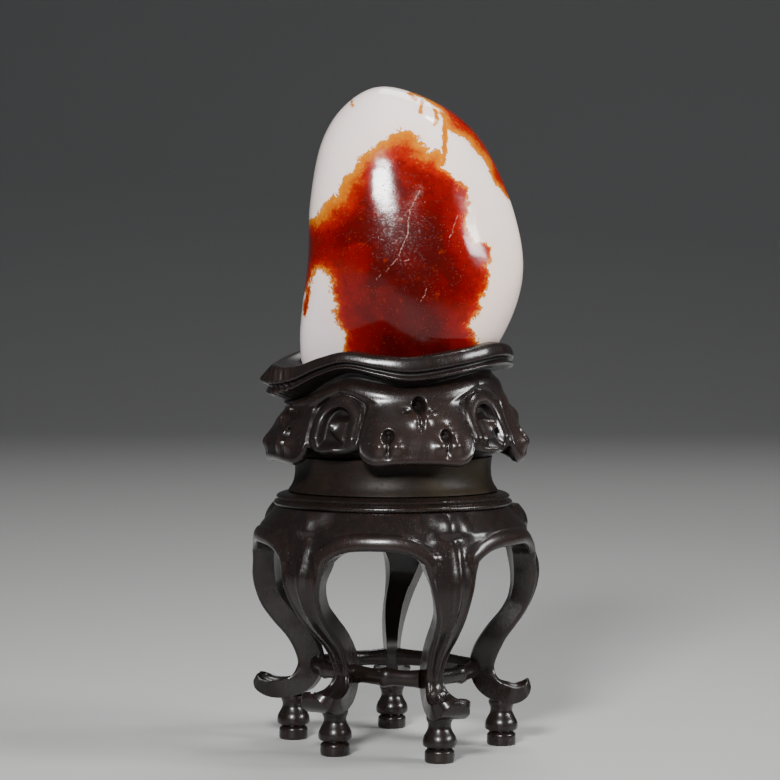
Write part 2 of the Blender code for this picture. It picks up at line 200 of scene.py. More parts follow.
# Hairline cracks in the skin, as pairs of (x, height).
CRACKS = [
    ((4.8, 110.8), (2.9, 106.9)),
    ((2.9, 106.9), (2.5, 102.6)),
    ((2.5, 102.6), (0.6, 97.6)),
    ((0.6, 97.6), (-3.5, 93.3)),
    ((0.6, 96.9), (3.3, 97.2)),
    ((12.2, 105.9), (10.7, 101.5)),
    ((6.2, 91.8), (5.0, 89.0)),
]
SKIN_BACK = [
    (4.0, 136.0),
    (-2.0, 127.0),
    (2.0, 119.0),
    (9.0, 113.0),
    (12.0, 104.0),
    (18.0, 97.0),
    (22.0, 101.0),
    (30.0, 104.0),
    (28.0, 122.0),
    (14.0, 134.0),
]

# Seat: the leaf rim, the neck under it, and the skirt of lappets.
# The five lappets are carved by eye, so they sit unevenly. Their shapes are given for a gap of 80 degrees.
LAPPET_ANGLES = (11, 94, 165, 228, 290)
LAPPET_GAP = 80
RIM_HEIGHT = 77.4
RIM_LINE = [
    (-152, 78.5),
    (-122, 76.9),
    (-98, 74.9),
    (-78, 74.0),
    (-56, 74.4),
    (-38, 76.7),
    (-24, 78.0),
    (-8, 77.1),
    (7, 76.4),
    (20, 76.9),
    (35, 77.9),
    (58, 79.2),
    (78, 79.0),
    (108, 77.4),
    (138, 78.7),
    (168, 77.3),
]
RIM_LOBE_ANGLE = -76
RIM_LOBE_SPREAD = 24
RIM_LOBE_REACH = 1.5
RIM_RADIUS = 24.2
# How much taller the rim's section is at an angle, and the knob at the end of its drooping lobe.
RIM_SWELL = [
    (-150, 1.2),
    (-98, 1.45),
    (-76, 1.7),
    (-52, 1.25),
    (-30, 1.0),
    (-14, 1.0),
    (4, 1.3),
    (40, 1.32),
    (80, 1.15),
    (120, 1.0),
    (150, 1.1),
]
RIM_KNOB_ANGLE = -80
RIM_KNOB_SPREAD = 4.5
RIM_KNOB_HEIGHT = 1.3
# Fibres cut beside the knob, spaced as so many waves round the whole rim.
RIM_FIBRE_ANGLE = -64
RIM_FIBRE_SPREAD = 9.0
RIM_FIBRE_DEPTH = 0.36
RIM_FIBRE_WAVES = 74
# Ripples of the rim's edge, as height and number of waves round it.
RIM_RIPPLES = [(0.09, 9), (0.04, 23)]
# Rim section, as distance beyond the rim's outer radius and height above its middle.
RIM_SECTION = [
    (-4.4, -2.7),
    (-3.0, -2.5),
    (-1.6, -2.2),
    (-0.7, -2.0),
    (-0.25, -1.86),
    (-0.12, -1.69),
    (-0.3, -1.52),
    (-0.95, -1.36),
    (-1.25, -1.1),
    (-1.05, -0.84),
    (-0.45, -0.7),
    (-0.14, -0.5),
    (-0.12, -0.1),
    (-0.28, 0.45),
    (-0.52, 0.95),
    (-0.85, 1.28),
    (-1.35, 1.47),
    (-2.0, 1.5),
]
RIM_ROWS = 46
# From the rim's crest to the socket's lip, as share of the way and height above the straight line.
RIM_CREST = [(0.15, 0.14), (0.35, 0.24), (0.6, 0.22), (0.85, 0.10), (0.97, 0.0)]
SOCKET_CLEARANCE = 0.12
SOCKET_LIP = 1.1
# Rings of the socket's wall, below the lip, and of its floor, as share of the wall's width.
SOCKET_DROPS = (0.25, 1.2, 3.0, 4.6)
SOCKET_FLOOR = 73.4
SOCKET_SHARES = (0.8, 0.55, 0.3, 0.0)
SOCKET_SEARCH_FROM = 83.0
# Underside of the seat, as radius and height above its bottom, and of the skirt, as distance in from its
# face and height above its edge.
SEAT_UNDERSIDE = [(0.0, 0.0), (20.0, 0.0), (21.0, 1.3)]
SKIRT_UNDERSIDE = [(1.9, 0.9), (1.425, 0.25), (0.7, 0.02)]
SKIRT_TOP = 74.0
SKIRT_ROWS = 88
SKIRT_HANG = 57.2
SKIRT_LEAN = 0.6
# Below the first height the rows follow the scalloped edge. Above the second they follow the rim.
EDGE_FOLLOWED_BELOW = 63.0
RIM_FOLLOWED_ABOVE = 66.0
LAPPET_CORNER_ANGLE = 18
LAPPET_CORNER_RISE = 3.5
LAPPET_HALF_ANGLE = 26
# Half the angle that a lappet covers, by height. Above the lobes the lappets run into one another.
LAPPET_SIDE = [
    (57.0, 26.0),
    (61.0, 26.5),
    (64.0, 26.0),
    (66.5, 25.0),
    (68.0, 24.0),
    (69.3, 25.0),
    (70.3, 31.0),
    (71.0, 38.0),
    (71.6, 44.0),
]
# Eyes of a lappet: angle from its middle, height, half the space between its two swellings, how far they lie
# below it, and the strength of the ridge above it.
LAPPET_EYES = [
    (1.9, 69.2, 0.9, 2.5, 0.0),
    (-13.0, 63.2, 1.6, 1.7, 0.0),
    (12.6, 63.2, 1.6, 1.7, 0.35),
]
# Tall notch round a lappet's middle eye, with a hollow on each side of it, and a low swelling farther out on
# each side under the rim. The swellings' place is an angle from the lappet's middle.
NOTCH_LEVEL = 69.4
NOTCH_HALF_WIDTH = 1.3
NOTCH_HALF_HEIGHT = 1.9
NOTCH_DEPTH = 1.3
HOLLOW_LEVEL = 68.3
HOLLOW_ASIDE = 2.3
HOLLOW_DEPTH = 0.5
BROW_LEVEL = 71.2
BROW_ANGLE = 17
BROW_HEIGHT = 0.16
# Groove along a lappet's side, and bead over the skirt's scalloped edge.
GROOVE_DEPTH = 0.3
EDGE_BEAD_HEIGHT = 0.2
# Heights over which the groove, the lean and then all the carving fade out below the rim.
GROOVE_FADES = (71.6, 69.6)
LEAN_FADES = (71.5, 69.0)
CARVING_FADES = (74.2, 72.2)
# Arched lobe between lappets: height of its arch's centre, and outer and inner radius of its band.
LOBE_HEIGHT = 65.3
LOBE_OUTER = 5.5
LOBE_INNER = 3.2
SKIRT_PROFILE = [
    (57.2, 25.0),
    (60.0, 25.3),
    (62.5, 24.8),
    (65.0, 23.6),
    (67.5, 22.4),
    (69.3, 21.6),
    (70.3, 21.25),
    (71.1, 21.08),
    (71.8, 20.92),
    (72.6, 20.5),
    (73.3, 19.9),
    (74.0, 19.2),
]

# Waist and board, as radius and height.
WAIST_PROFILE = [
    (21.0, BOARD_TOP),
    (20.95, BOARD_TOP + 0.4),
    (20.4, BOARD_TOP + 1.1),
    (19.85, BOARD_TOP + 2.4),
    (19.6, BOARD_TOP + 4.4),
    (19.75, BOARD_TOP + 6.2),
    (19.9, WAIST_TOP),
]
BOARD_PROFILE = [
    (23.2, BOARD_BOTTOM),
    (23.75, BOARD_BOTTOM + 0.15),
    (23.9, BOARD_BOTTOM + 0.55),
    (23.75, BOARD_BOTTOM + 0.95),
    (23.2, BOARD_BOTTOM + 1.12),
    (23.05, BOARD_BOTTOM + 1.25),
    (23.1, BOARD_BOTTOM + 1.4),
    (23.4, BOARD_BOTTOM + 1.75),
    (23.1, BOARD_BOTTOM + 2.15),
    (22.4, BOARD_BOTTOM + 2.45),
    (21.4, BOARD_TOP),
]
# Fineness of the turned pieces: points on the smoothed profile, rows up it and columns round it.
WAIST_POINTS = 20
WAIST_ROWS = 90
WAIST_COLUMNS = 160
BOARD_POINTS = 24
BOARD_ROWS = 150
BOARD_COLUMNS = 180
FOOT_POINTS = 28
FOOT_ROWS = 90

# Legs, freely carved: angle of the shoulder, x and y of the foot, way that the toe points, its length.
LEGS = [
    (24.5, 9.0, -20.6, 26, 1.0),
    (95.0, 21.8, 0.6, 91, 0.75),
    (174.0, -0.2, 22.8, 180, 1.0),
    (253.0, -20.3, 8.2, 250, 1.03),
    (320.0, -11.4, -12.4, 324, 1.0),
]
FOOT_RING = 22.4
LEAN_TOP = 37.0
LEAN_BOTTOM = 18.0
# Leg, from the board to the toe: radius and height of its outer line, half width, thickness, crown.
LEG_STATIONS = [
    (24.6, APRON_TOP, 5.1, 3.2, 0.8),
    (25.05, 47.6, 5.25, 3.2, 1.05),
    (25.4, 46.7, 5.4, 3.2, 1.3),
    (25.65, 45.8, 5.5, 3.2, 1.4),
    (25.85, 44.8, 5.65, 3.2, 1.4),
    (26.0, 44.0, 5.75, 3.2, 1.15),
    (26.2, 43.3, 5.85, 3.2, 0.9),
    (26.5, 42.6, 5.95, 3.3, 0.85),
    (26.9, 41.8, 6.0, 3.3, 1.0),
    (27.3, 40.6, 6.0, 3.4, 1.15),
    (27.75, 38.6, 5.7, 3.7, 1.3),
    (28.2, 36.4, 5.1, 4.0, 1.45),
    (28.4, 34.0, 4.5, 4.1, 1.45),
    (28.2, 31.2, 3.8, 4.0, 1.3),
    (27.3, 27.8, 3.1, 3.9, 1.0),
    (25.2, 24.5, 2.7, 3.9, 0.8),
    (22.7, 21.4, 2.3, 4.0, 0.7),
    (21.1, 18.2, 1.9, 4.5, 0.5),
    (20.5, 15.6, 1.8, 4.6, 0.3),
    (21.4, 13.5, 2.4, 4.3, 0.0),
    (23.4, 12.2, 3.3, 3.6, -0.6),
    (25.8, 11.7, 3.9, 3.1, -1.1),
    (28.0, 11.95, 3.8, 2.4, -1.1),
    (29.2, 12.5, 3.0, 1.6, -0.7),
    (29.75, 12.85, 1.7, 0.9, -0.3),
    (29.9, 12.95, 0.5, 0.4, 0.0),
]
LEG_BACK_WIDTH = 0.8
# Outer face of the aprons, behind the shoulders of the legs, as height and radius. Lower down than
# APRONS_GONE the frame's face has only the legs' own line.
APRON_PROFILE = [
    (38.8, 27.9),
    (41.8, 27.3),
    (43.4, 27.0),
    (44.6, 26.6),
    (45.7, 25.7),
    (47.0, 24.6),
    (48.45, 23.4),
]
ARCH_FOOT = 38.8
ARCH_RISE = 2.6
ARCH_POWER = 3.5
LEG_COLUMNS = 29
LEG_SAMPLES = 1200
LEG_UPPER_ROWS = 48
LEG_LOWER_ROWS = 96
LEG_SIDE_COLUMNS = 9
APRON_COLUMNS = 57
# The openings' edges are measured on the face unrolled at this radius, down to this height.
UNROLLED_RADIUS = 29.5
OPENING_BOTTOM = 24
OPENING_STEPS = 61
OPENING_NEARBY = 60
# Ridge down a leg's face, as shares of the half width: how wide it is, how much wider on the shoulder, and
# how far aside between shoulder and ankle. It has this share of the crown, and a plain arch has the rest.
RIDGE_WIDTH = 0.15
RIDGE_WIDENING = 0.14
RIDGE_ASIDE = 0.15
RIDGE_SHARE = 0.65
# Bead down a leg's edges, with its strength beside the arch's roll, and how much wider that roll is.
BEAD_WIDTH = 0.85
BEAD_STRENGTH = 0.45
ROLL_WIDENING = 2.5
# Lips along the toe's edges, placed by share of the half width.
LIP_HEIGHT = 0.45
LIP_SHARE = 0.86
# Heights over which the legs' carving changes, from none of a change to all of it.
FACE_TILTS = (38.5, 31.0)
BACK_NARROWS = (38.5, 34.0)
RIDGE_WIDENS = (43.0, 45.0)
RIDGE_ASIDE_BELOW = (44.0, 42.5)
RIDGE_ASIDE_ABOVE = (24.0, 32.0)
BEAD_BROADENS = (35.5, 41.0)
BEAD_LEAVES_OPENING = (33.0, 28.0)
BEAD_STARTS = (12.2, 14.5)
RIDGE_WEARS = (40.0, 34.0)
LIPS_START = (14.2, 12.9)
# Radii over which the lips start, and angles from a leg's middle over which its shoulder becomes an apron.
LIPS_START_OUTSIDE = (21.8, 24.0)
SHOULDER_ENDS = (5.0, 13.0)
APRONS_GONE = 33.0
# Relief that the wood's finish sees where nothing is carved. The inner value darkens the inner faces
# slightly, as painted shade.
INNER_RELIEF = -0.3
EDGE_RELIEF = -0.2
SIDE_RELIEF = -0.1

# Stretchers between the ankles.
# Where the stretchers meet the ankles, how far they bow inwards as a share of their length, and their
# height over their width.
STRETCHER_RADIUS = 16.7
STRETCHER_HEIGHT = 15.5
STRETCHER_BOW = 0.1
STRETCHER_TALLNESS = 1.35
STRETCHER_PATH_POINTS = 25
STRETCHER_STEPS = 72
STRETCHER_SIDES = 14
# Half width along a stretcher, as share of its length and of the boss at its middle.
STRETCHER_SWELL = [
    (0.0, 0.95),
    (0.1, 0.84),
    (0.3, 0.8),
    (0.41, 0.84),
    (0.5, 1.0),
    (0.59, 0.84),
    (0.7, 0.8),
    (0.9, 0.84),
    (1.0, 0.95),
]
ANKLE_HALF_WIDTH = 1.4

# Turned foot under each toe, as radius and height.
FOOT_PROFILE = [
    (2.7, 0.0),
    (2.9, 0.15),
    (2.9, 2.0),
    (2.75, 2.35),
    (2.35, 2.6),
    (2.4, 2.8),
    (3.1, 3.1),
    (3.3, 3.5),
    (3.3, 4.3),
    (3.05, 5.1),
    (2.6, 5.9),
    (2.3, 6.6),
    (2.25, 7.4),
    (2.6, 8.4),
    (2.6, 8.9),
]

# Softboxes: name, angle, tilt, distance, width and height in metres, and spread of the beam in degrees. The
# narrow beams leave the floor in front of the stand darker, so that it shows less in the polish.
SOFTBOXES = [
    ("key", -12, 27, 0.62, 0.125, 0.10, 72),
    ("side", 74, 21, 0.66, 0.30, 0.10, 72),
    ("back", 165, 55, 1.0, 0.5, 0.4, 180),
    ("top", 87, 62, 0.7, 0.09, 0.09, 72),
]
LIGHTS_AIM = 0.075
ROOM_COLOUR = (0.92, 0.95, 1.0, 1.0)
# Floor, in metres from the middle of the row.
FLOOR_FRONT = -1.5
FLOOR_BACK = 1.2
FLOOR_BEND = 0.8
FLOOR_BEND_STEPS = 25
FLOOR_HALF_WIDTH = 3.0
WALL_HEIGHT = 3.0
SENSOR_WIDTH = 36
CAMERA_ASIDE = -0.0006


# Shapes that several pieces share.


def oval(height):
    """Depth of the stand's plan over its width at a height."""
    share = (height - ROUND_BELOW) / (OVAL_ABOVE - ROUND_BELOW)
    return 1.0 + (OVAL_RATIO - 1.0) * np.clip(share, 0.0, 1.0)


def around(angle, radius, height):
    """Points at angles and radii round the stand's axis."""
    places = (np.asarray(part, float) for part in (angle, radius, height))
    angle, radius, height = np.broadcast_arrays(*places)
    turn = np.radians(angle)
    return np.stack([radius * np.sin(turn), -radius * np.cos(turn) * oval(height), height], axis=-1)


def from_nearest(angle, first, sector):
    """Angle from the nearest of the middles that repeat every sector degrees."""
    return (angle - first + sector / 2) % sector - sector / 2


def eased(count):
    """Steps from -1 to 1 that lie closer together at both ends."""
    return np.sin(np.linspace(-1, 1, count) * math.pi / 2)


def rise(low, high, at):
    """Smooth step from 0 at low to 1 at high."""
    share = np.clip((at - low) / (high - low), 0.0, 1.0)
    return share * share * (3 - 2 * share)


def hump(across, width):
    """Bell-shaped rise of the given half width."""
    return np.exp(-((across / width) ** 2))


def smooth_value(points, at):
    """Values on a smooth curve through (position, value) points in rising order."""
    positions, values = np.array(points, float).T
    at = np.clip(at, positions[0], positions[-1])
    last = len(positions) - 1
    i = np.clip(np.searchsorted(positions, at, side="right") - 1, 0, last - 1)
    low = np.maximum(np.arange(last + 1) - 1, 0)
    high = np.minimum(np.arange(last + 1) + 1, last)
    slopes = (values[high] - values[low]) / (positions[high] - positions[low])
    span = positions[i + 1] - positions[i]
    t = (at - positions[i]) / span
    return (
        values[i] * (2 * t**3 - 3 * t**2 + 1)
        + values[i + 1] * (3 * t**2 - 2 * t**3)
        + span * slopes[i] * (t**3 - 2 * t**2 + t)
        + span * slopes[i + 1] * (t**3 - t**2)
    )


def reach_along(points):
    """Distance of each point of a line from its start, along the line."""
    steps = np.linalg.norm(np.diff(points, axis=0), axis=1)
    return np.concatenate([[0.0], np.cumsum(steps)])


def smooth_path(points, count):
    """Points along a smooth open curve through the given ones, evenly spaced along it."""
    points = np.array(points, float)
    reach = reach_along(points[:, :2])
    at = np.linspace(0.0, reach[-1], count)
    return np.stack([smooth_value(np.stack([reach, column], axis=1), at) for column in points.T], axis=1)


def closed_curve(points, steps):
    """Points on a closed smooth curve through the given points."""
    points = np.array(points, float)
    before, end, after = (np.roll(points, -k, axis=0) for k in (-1, 1, 2))
    t = np.arange(steps)[None, :, None] / steps
    before, start, end, after = (p[:, None, :] for p in (before, points, end, after))
    curve = 0.5 * (
        2 * start
        + (end - before) * t
        + (2 * before - 5 * start + 4 * end - after) * t**2
        + (3 * start - before - 3 * end + after) * t**3
    )
    return curve.reshape(-1, points.shape[1])


def distance_to_line(points, line):
    """Distance of each 2-D point from a polyline."""
    starts, ends = line[:-1], line[1:]
    along = ends - starts
    length = np.maximum((along**2).sum(axis=1), 1e-9)
    nearest = np.full(len(points), np.inf)
    for start, step, squared in zip(starts, along, length):
        share = np.clip(((points - start) @ step) / squared, 0.0, 1.0)
        nearest = np.minimum(nearest, np.linalg.norm(points - start - share[:, None] * step, axis=1))
    return nearest


def inside_outline(points, outline):
    """Signed distance of each 2-D point inside a closed outline, below 0 outside it."""
    outline = np.array(outline, float)
    line = np.vstack([outline, outline[:1]])
    inside = np.zeros(len(points), bool)
    for start, end in zip(line[:-1], line[1:]):
        crosses = (start[1] > points[:, 1]) != (end[1] > points[:, 1])
        height = end[1] - start[1] if end[1] != start[1] else 1e-9
        at = start[0] + (points[:, 1] - start[1]) * (end[0] - start[0]) / height
        inside ^= crosses & (points[:, 0] < at)
    return np.where(inside, 1.0, -1.0) * distance_to_line(points, line)


# The stand's axis is a little off the row's origin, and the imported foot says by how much.
FOOT_LOW, FOOT_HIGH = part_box("foot_1")
AXIS = (FOOT_LOW + FOOT_HIGH) / 2 - Vector((LEGS[0][1], LEGS[0][2], 0)) * MILLIMETRE
AXIS.z = 0.0


def outline_table():
    """Directions and distances of the pebble's outline, seen from its centre, in rising order."""
    curve = closed_curve(PEBBLE_OUTLINE, OUTLINE_STEPS) - PEBBLE_CENTRE[[0, 2]]
    directions = np.arctan2(curve[:, 1], curve[:, 0]) % math.tau
    order = np.argsort(directions)
    return directions[order], np.linalg.norm(curve, axis=1)[order]


OUTLINE_DIRECTIONS, OUTLINE_DISTANCES = outline_table()


def facing(angle, tilt):
    """Unit vectors at an angle round the stand and a tilt above the horizon."""
    angle, tilt = np.broadcast_arrays(np.radians(angle), np.radians(tilt))
    return np.stack([np.sin(angle) * np.cos(tilt), -np.cos(angle) * np.cos(tilt), np.sin(tilt)], axis=-1)


def pebble_distance(direction):
    """Distances of the pebble's surface from its centre, along unit vectors."""
    x, y, z = np.moveaxis(direction, -1, 0)
    direction_seen = np.arctan2(z, x) % math.tau
    outline = np.interp(direction_seen, OUTLINE_DIRECTIONS, OUTLINE_DISTANCES, period=math.tau)
    side = np.hypot(x, z) / outline
    depth = np.abs(y) / (PEBBLE_HALF_DEPTH * (1 - PEBBLE_TAPER * z))
    power = PEBBLE_SQUARENESS
    worn = (side**power + depth**power) ** (FACET_SHARPNESS / power)
    for angle, tilt, distance in PEBBLE_FACETS:
        worn = worn + (np.maximum(0.0, direction @ facing(angle, tilt)) / distance) ** FACET_SHARPNESS
    return worn ** (-1 / FACET_SHARPNESS)


def pebble_reach(start, direction):
    """Distances from points inside the pebble to its surface, along unit vectors."""
    near, far = np.zeros(len(start)), np.full(len(start), SEARCH_REACH)
    for _ in range(SEARCH_HALVINGS):
        middle = (near + far) / 2
        offset = start + direction * middle[:, None] - PEBBLE_CENTRE
        length = np.linalg.norm(offset, axis=1)
        within = length < pebble_distance(offset / length[:, None])
        near, far = np.where(within, middle, near), np.where(within, far, middle)
    return near


# Meshes.


def grid_faces(rows, columns, wrap=False, start=0):
    """Quads of a grid of points that are numbered row by row."""
    faces = []
    for i in range(rows - 1):
        for k in range(columns if wrap else columns - 1):
            after = (k + 1) % columns
            low, high = start + i * columns, start + (i + 1) * columns
            faces.append((low + k, low + after, high + after, high + k))
    return faces


def check_closed(mesh):
    """Raises an error for a piece that is empty or has an edge that isn't shared by two faces."""
    edges = np.zeros(len(mesh.loops), np.int32)
    mesh.loops.foreach_get("edge_index", edges)
    uses = np.bincount(edges, minlength=len(mesh.edges))
    if not len(edges) or np.any(uses != 2):
        raise RuntimeError(f"{mesh.name} is empty or open")


def finish_mesh(name, points, faces, material, sharp_angle=None, attributes=None):
    """A piece from points in millimetres about the stand's axis. Doubles are merged and faces point out."""
    mesh = bpy.data.meshes.new(name)
    mesh.from_pydata((np.asarray(points) * MILLIMETRE + np.array(AXIS)).tolist(), [], faces)
    for key, values in (attributes or {}).items():
        layer = mesh.attributes.new(key, "FLOAT", "POINT")
        layer.data.foreach_set("value", np.asarray(values, np.float32))
    bm = bmesh.new()
    bm.from_mesh(mesh)
    bmesh.ops.remove_doubles(bm, verts=bm.verts, dist=MERGE_DISTANCE)
    bmesh.ops.dissolve_degenerate(bm, edges=bm.edges, dist=MERGE_DISTANCE / 10)
    bmesh.ops.recalc_face_normals(bm, faces=bm.faces)
    bm.to_mesh(mesh)
    bm.free()
    check_closed(mesh)
    mesh.shade_smooth()
    if sharp_angle:
        mesh.set_sharp_from_angle(angle=sharp_angle)
    mesh.materials.clear()
    mesh.materials.append(material)
    piece = bpy.data.objects.new(name, mesh)
    bpy.context.scene.collection.objects.link(piece)
    return piece


def place(piece, slot, *nodes):
    """Puts a finished piece on the stand in the place of its CAD nodes."""
    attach(piece, "root")
    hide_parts(*nodes)


# Materials.

# Colours that the skin passes through, and small things on it.
ORANGE_SKIN = (0.46, 0.11, 0.002)
RED_SKIN = (0.31, 0.011, 0.0008)
DEEP_SKIN = (0.17, 0.0016, 0.0008)
DARK_MOTTLE = (0.075, 0.002, 0.0015)
BRIGHT_MOTTLE = (0.44, 0.035, 0.003)
GOLD_FLECK = (0.72, 0.33, 0.022)
BLUSH = (0.86, 0.60, 0.38)
CRACK_COLOUR = (0.52, 0.30, 0.25)
CRACK_WANDER = 0.9
# Colours within the wood, and the painted shade that darkens its hollows.
DARK_STREAK = (0.006, 0.0035, 0.003)
PAINTED_HOLLOW_SHADE = (0.004, 0.0025, 0.002)
PORE = (0.003, 0.002, 0.002)
PALE_FLECK = (0.20, 0.17, 0.15)
DUST = (0.12, 0.09, 0.07)


class Value:
    """A number in a material that Python's operators work on."""

    def __init__(self, finish, socket):
        self.finish = finish
        self.socket = socket

    def math(self, operation, *others):
        sockets = {0: self, **dict(enumerate(others, 1))}
        return self.finish.value("ShaderNodeMath", {"operation": operation}, sockets)

    def __add__(self, other):
        return self.math("ADD", other)

    def __sub__(self, other):
        return self.math("SUBTRACT", other)

    def __mul__(self, other):
        return self.math("MULTIPLY", other)

    def __truediv__(self, other):
        return self.math("DIVIDE", other)

    def __rsub__(self, other):
        return (self * -1.0) + other

    __radd__ = __add__
    __rmul__ = __mul__

    def smaller(self, other):
        return self.math("MINIMUM", other)

    def larger(self, other):
        return self.math("MAXIMUM", other)

    def rise(self, low, high):
        """Smooth step from 0 at low to 1 at high, either way round."""
        settings = {"interpolation_type": "SMOOTHSTEP"}
        sockets = {0: self, 1: low, 2: high, 3: 0.0, 4: 1.0}
        return self.finish.value("ShaderNodeMapRange", settings, sockets)


class Nodes:
    """A node tree under construction."""

    def __init__(self, tree):
        self.tree = tree

    def node(self, kind, settings=None, sockets=None):
        """A node of any kind. Settings are set first, then its sockets get values or links."""
        made = self.tree.nodes.new(kind)
        for key, setting in (settings or {}).items():
            if key == "stops":
                ramp = made.color_ramp.elements
                while len(ramp) < len(setting):
                    ramp.new(1.0)
                for element, (position, colour) in zip(ramp, setting):
                    element.position = position
                    element.color = (*colour, 1.0)
            else:
                setattr(made, key, setting)
        for key, value in (sockets or {}).items():
            self.join(made.inputs[key], value)
        return made

    def join(self, socket, value):
        """Gives a socket a value, or a link from another node."""
        if isinstance(value, Value):
            value = value.socket
        if isinstance(value, bpy.types.NodeSocket):
            self.tree.links.new(value, socket)
        elif isinstance(value, tuple) and len(value) == 3 and socket.type == "RGBA":
            socket.default_value = (*value, 1.0)
        else:
            socket.default_value = value


class Finish(Nodes):
    """A material under construction."""

    def __init__(self, name):
        self.material = bpy.data.materials.new(name)
        self.material.use_nodes = True
        super().__init__(self.material.node_tree)
        self.shader = self.tree.nodes["Principled BSDF"]

    def value(self, kind, settings=None, sockets=None, output=0):
        return Value(self, self.node(kind, settings, sockets).outputs[output])

    def place(self):
        """Object coordinates in millimetres, and their three parts."""
        coordinates = self.node("ShaderNodeTexCoord").outputs["Object"]
        sockets = {0: coordinates, "Scale": 1 / MILLIMETRE}
        scaled = self.node("ShaderNodeVectorMath", {"operation": "SCALE"}, sockets).outputs[0]
        parts = self.node("ShaderNodeSeparateXYZ", None, {0: scaled}).outputs
        return scaled, *(Value(self, part) for part in parts)

    def stretched(self, vector, scale):
        """Coordinates scaled by a different amount along each axis."""
        return self.node("ShaderNodeVectorMath", {"operation": "MULTIPLY"}, {0: vector, 1: scale}).outputs[0]

    def shifted(self, vector, amount, scale):
        """Coordinates pushed about by coloured noise, so that a pattern on them is ragged."""
        sockets = {"Vector": vector, "Scale": scale, "Detail": 4.0}
        cloud = self.node("ShaderNodeTexNoise", None, sockets).outputs["Color"]
        settings = {"operation": "MULTIPLY_ADD"}
        sockets = {0: cloud, 1: (amount,) * 3, 2: vector}
        return self.node("ShaderNodeVectorMath", settings, sockets).outputs[0]

    def noise(self, vector, size, detail=3.0, roughness=0.5):
        """Noise from 0 to 1 whose features are about size millimetres across."""
        sockets = {"Vector": vector, "Scale": 1.0 / size, "Detail": detail, "Roughness": roughness}
        return self.value("ShaderNodeTexNoise", None, sockets)

    def cells(self, vector, size):
        """Distance to scattered points about size millimetres apart."""
        return self.value("ShaderNodeTexVoronoi", None, {"Vector": vector, "Scale": 1.0 / size})

    def near_segment(self, across, up, start, end):
        """Distance in a plane of two coordinates from a straight line between two points."""
        step = (end[0] - start[0], end[1] - start[1])
        squared = step[0] ** 2 + step[1] ** 2
        from_x, from_z = across - start[0], up - start[1]
        share = (from_x * (step[0] / squared) + from_z * (step[1] / squared)).larger(0.0).smaller(1.0)
        off_x, off_z = from_x - share * step[0], from_z - share * step[1]
        return (off_x * off_x + off_z * off_z).math("SQRT")

    def attribute(self, name):
        return self.value("ShaderNodeAttribute", {"attribute_name": name}, None, "Fac")

    def mix(self, share, first, second):
        """A colour between two."""
        return self.node("ShaderNodeMix", {"data_type": "RGBA"}, {0: share, 6: first, 7: second}).outputs[2]

    def ramp(self, value, stops):
        return self.node("ShaderNodeValToRGB", {"stops": stops}, {0: value}).outputs[0]

    def bump(self, height, depth, beneath=None):
        """A normal from a height between 0 and 1 that stands for depth millimetres."""
        sockets = {"Height": height, "Distance": depth * MILLIMETRE, "Strength": 1.0}
        if beneath is not None:
            sockets["Normal"] = beneath
        return self.node("ShaderNodeBump", None, sockets).outputs[0]

    def done(self, colour, roughness, normal, constants):
        """Links what varies to the shader and sets what doesn't on its own sockets."""
        self.join(self.shader.inputs["Base Color"], colour)
        self.join(self.shader.inputs["Roughness"], roughness)
        self.join(self.shader.inputs["Normal"], normal)
        for key, value in constants.items():
            self.shader.inputs[key].default_value = value
        return self.material


def bare_jade(finish, colours, point, depth):
    """Colour of the white jade: warmer on the right and darker low on the right as painted shade, cooler low
    on the left, blushing beside the skin.
    """
    vector, x, _, z = point
    # Warm clouds at random, and a warmer and darker lower right whose darkness is painted shade.
    warm_and_shade = (finish.noise(vector, 13.0) * 0.5 + x.rise(4.0, 22.0) * z.rise(118.0, 88.0)).smaller(1.0)
    colour = finish.mix(warm_and_shade, tuple(colours.white), tuple(colours.warm_shaded_white))
    cool = x.rise(0.0, -14.0) * z.rise(100.0, 84.0)
    colour = finish.mix(cool * 0.8, colour, tuple(colours.cool_white))
    return finish.mix(depth.rise(-3.2, 0.2) * 0.22, colour, BLUSH)


def russet_skin(finish, colours, point, patterns, depth, inner):
    """Colour of the skin, from its yellow fringe (inner 0) to its deep red (inner 1) and darker core."""
    vector, x, _, z = point
    ragged, cloud, tufts = patterns
    stops = [
        (0.0, tuple(colours.fringe)),
        (0.18, ORANGE_SKIN),
        (0.34, RED_SKIN),
        (0.55, tuple(colours.skin)),
        (1.0, DEEP_SKIN),
    ]
    colour = finish.ramp(inner, stops)
    clouds = (depth * 0.11).smaller(1.0).larger(0.0) * finish.noise(vector, 6.5).rise(0.32, 0.62)
    colour = finish.mix(clouds.rise(0.15, 0.85) * 0.6, colour, tuple(colours.core))
    column = (x + cloud * 6.0).rise(-9.0, 0.0) * (x + tufts * 5.0).rise(15.0, 7.0) * z.rise(113.0, 104.0)
    colour = finish.mix(column * depth.rise(2.0, 6.0) * 0.7, colour, tuple(colours.core))
    mottle = finish.noise(vector, 1.6, 6.0, 0.7)
    colour = finish.mix(mottle.rise(0.50, 0.30) * inner.rise(0.15, 0.7) * 0.6, colour, DARK_MOTTLE)
    colour = finish.mix(mottle.rise(0.57, 0.75) * inner.rise(0.05, 0.4) * 0.3, colour, BRIGHT_MOTTLE)
    gold = finish.noise(ragged, 0.8, 4.0, 0.7).rise(0.55, 0.7) * inner.rise(0.75, 0.2)
    return finish.mix(gold * 0.5, colour, GOLD_FLECK)


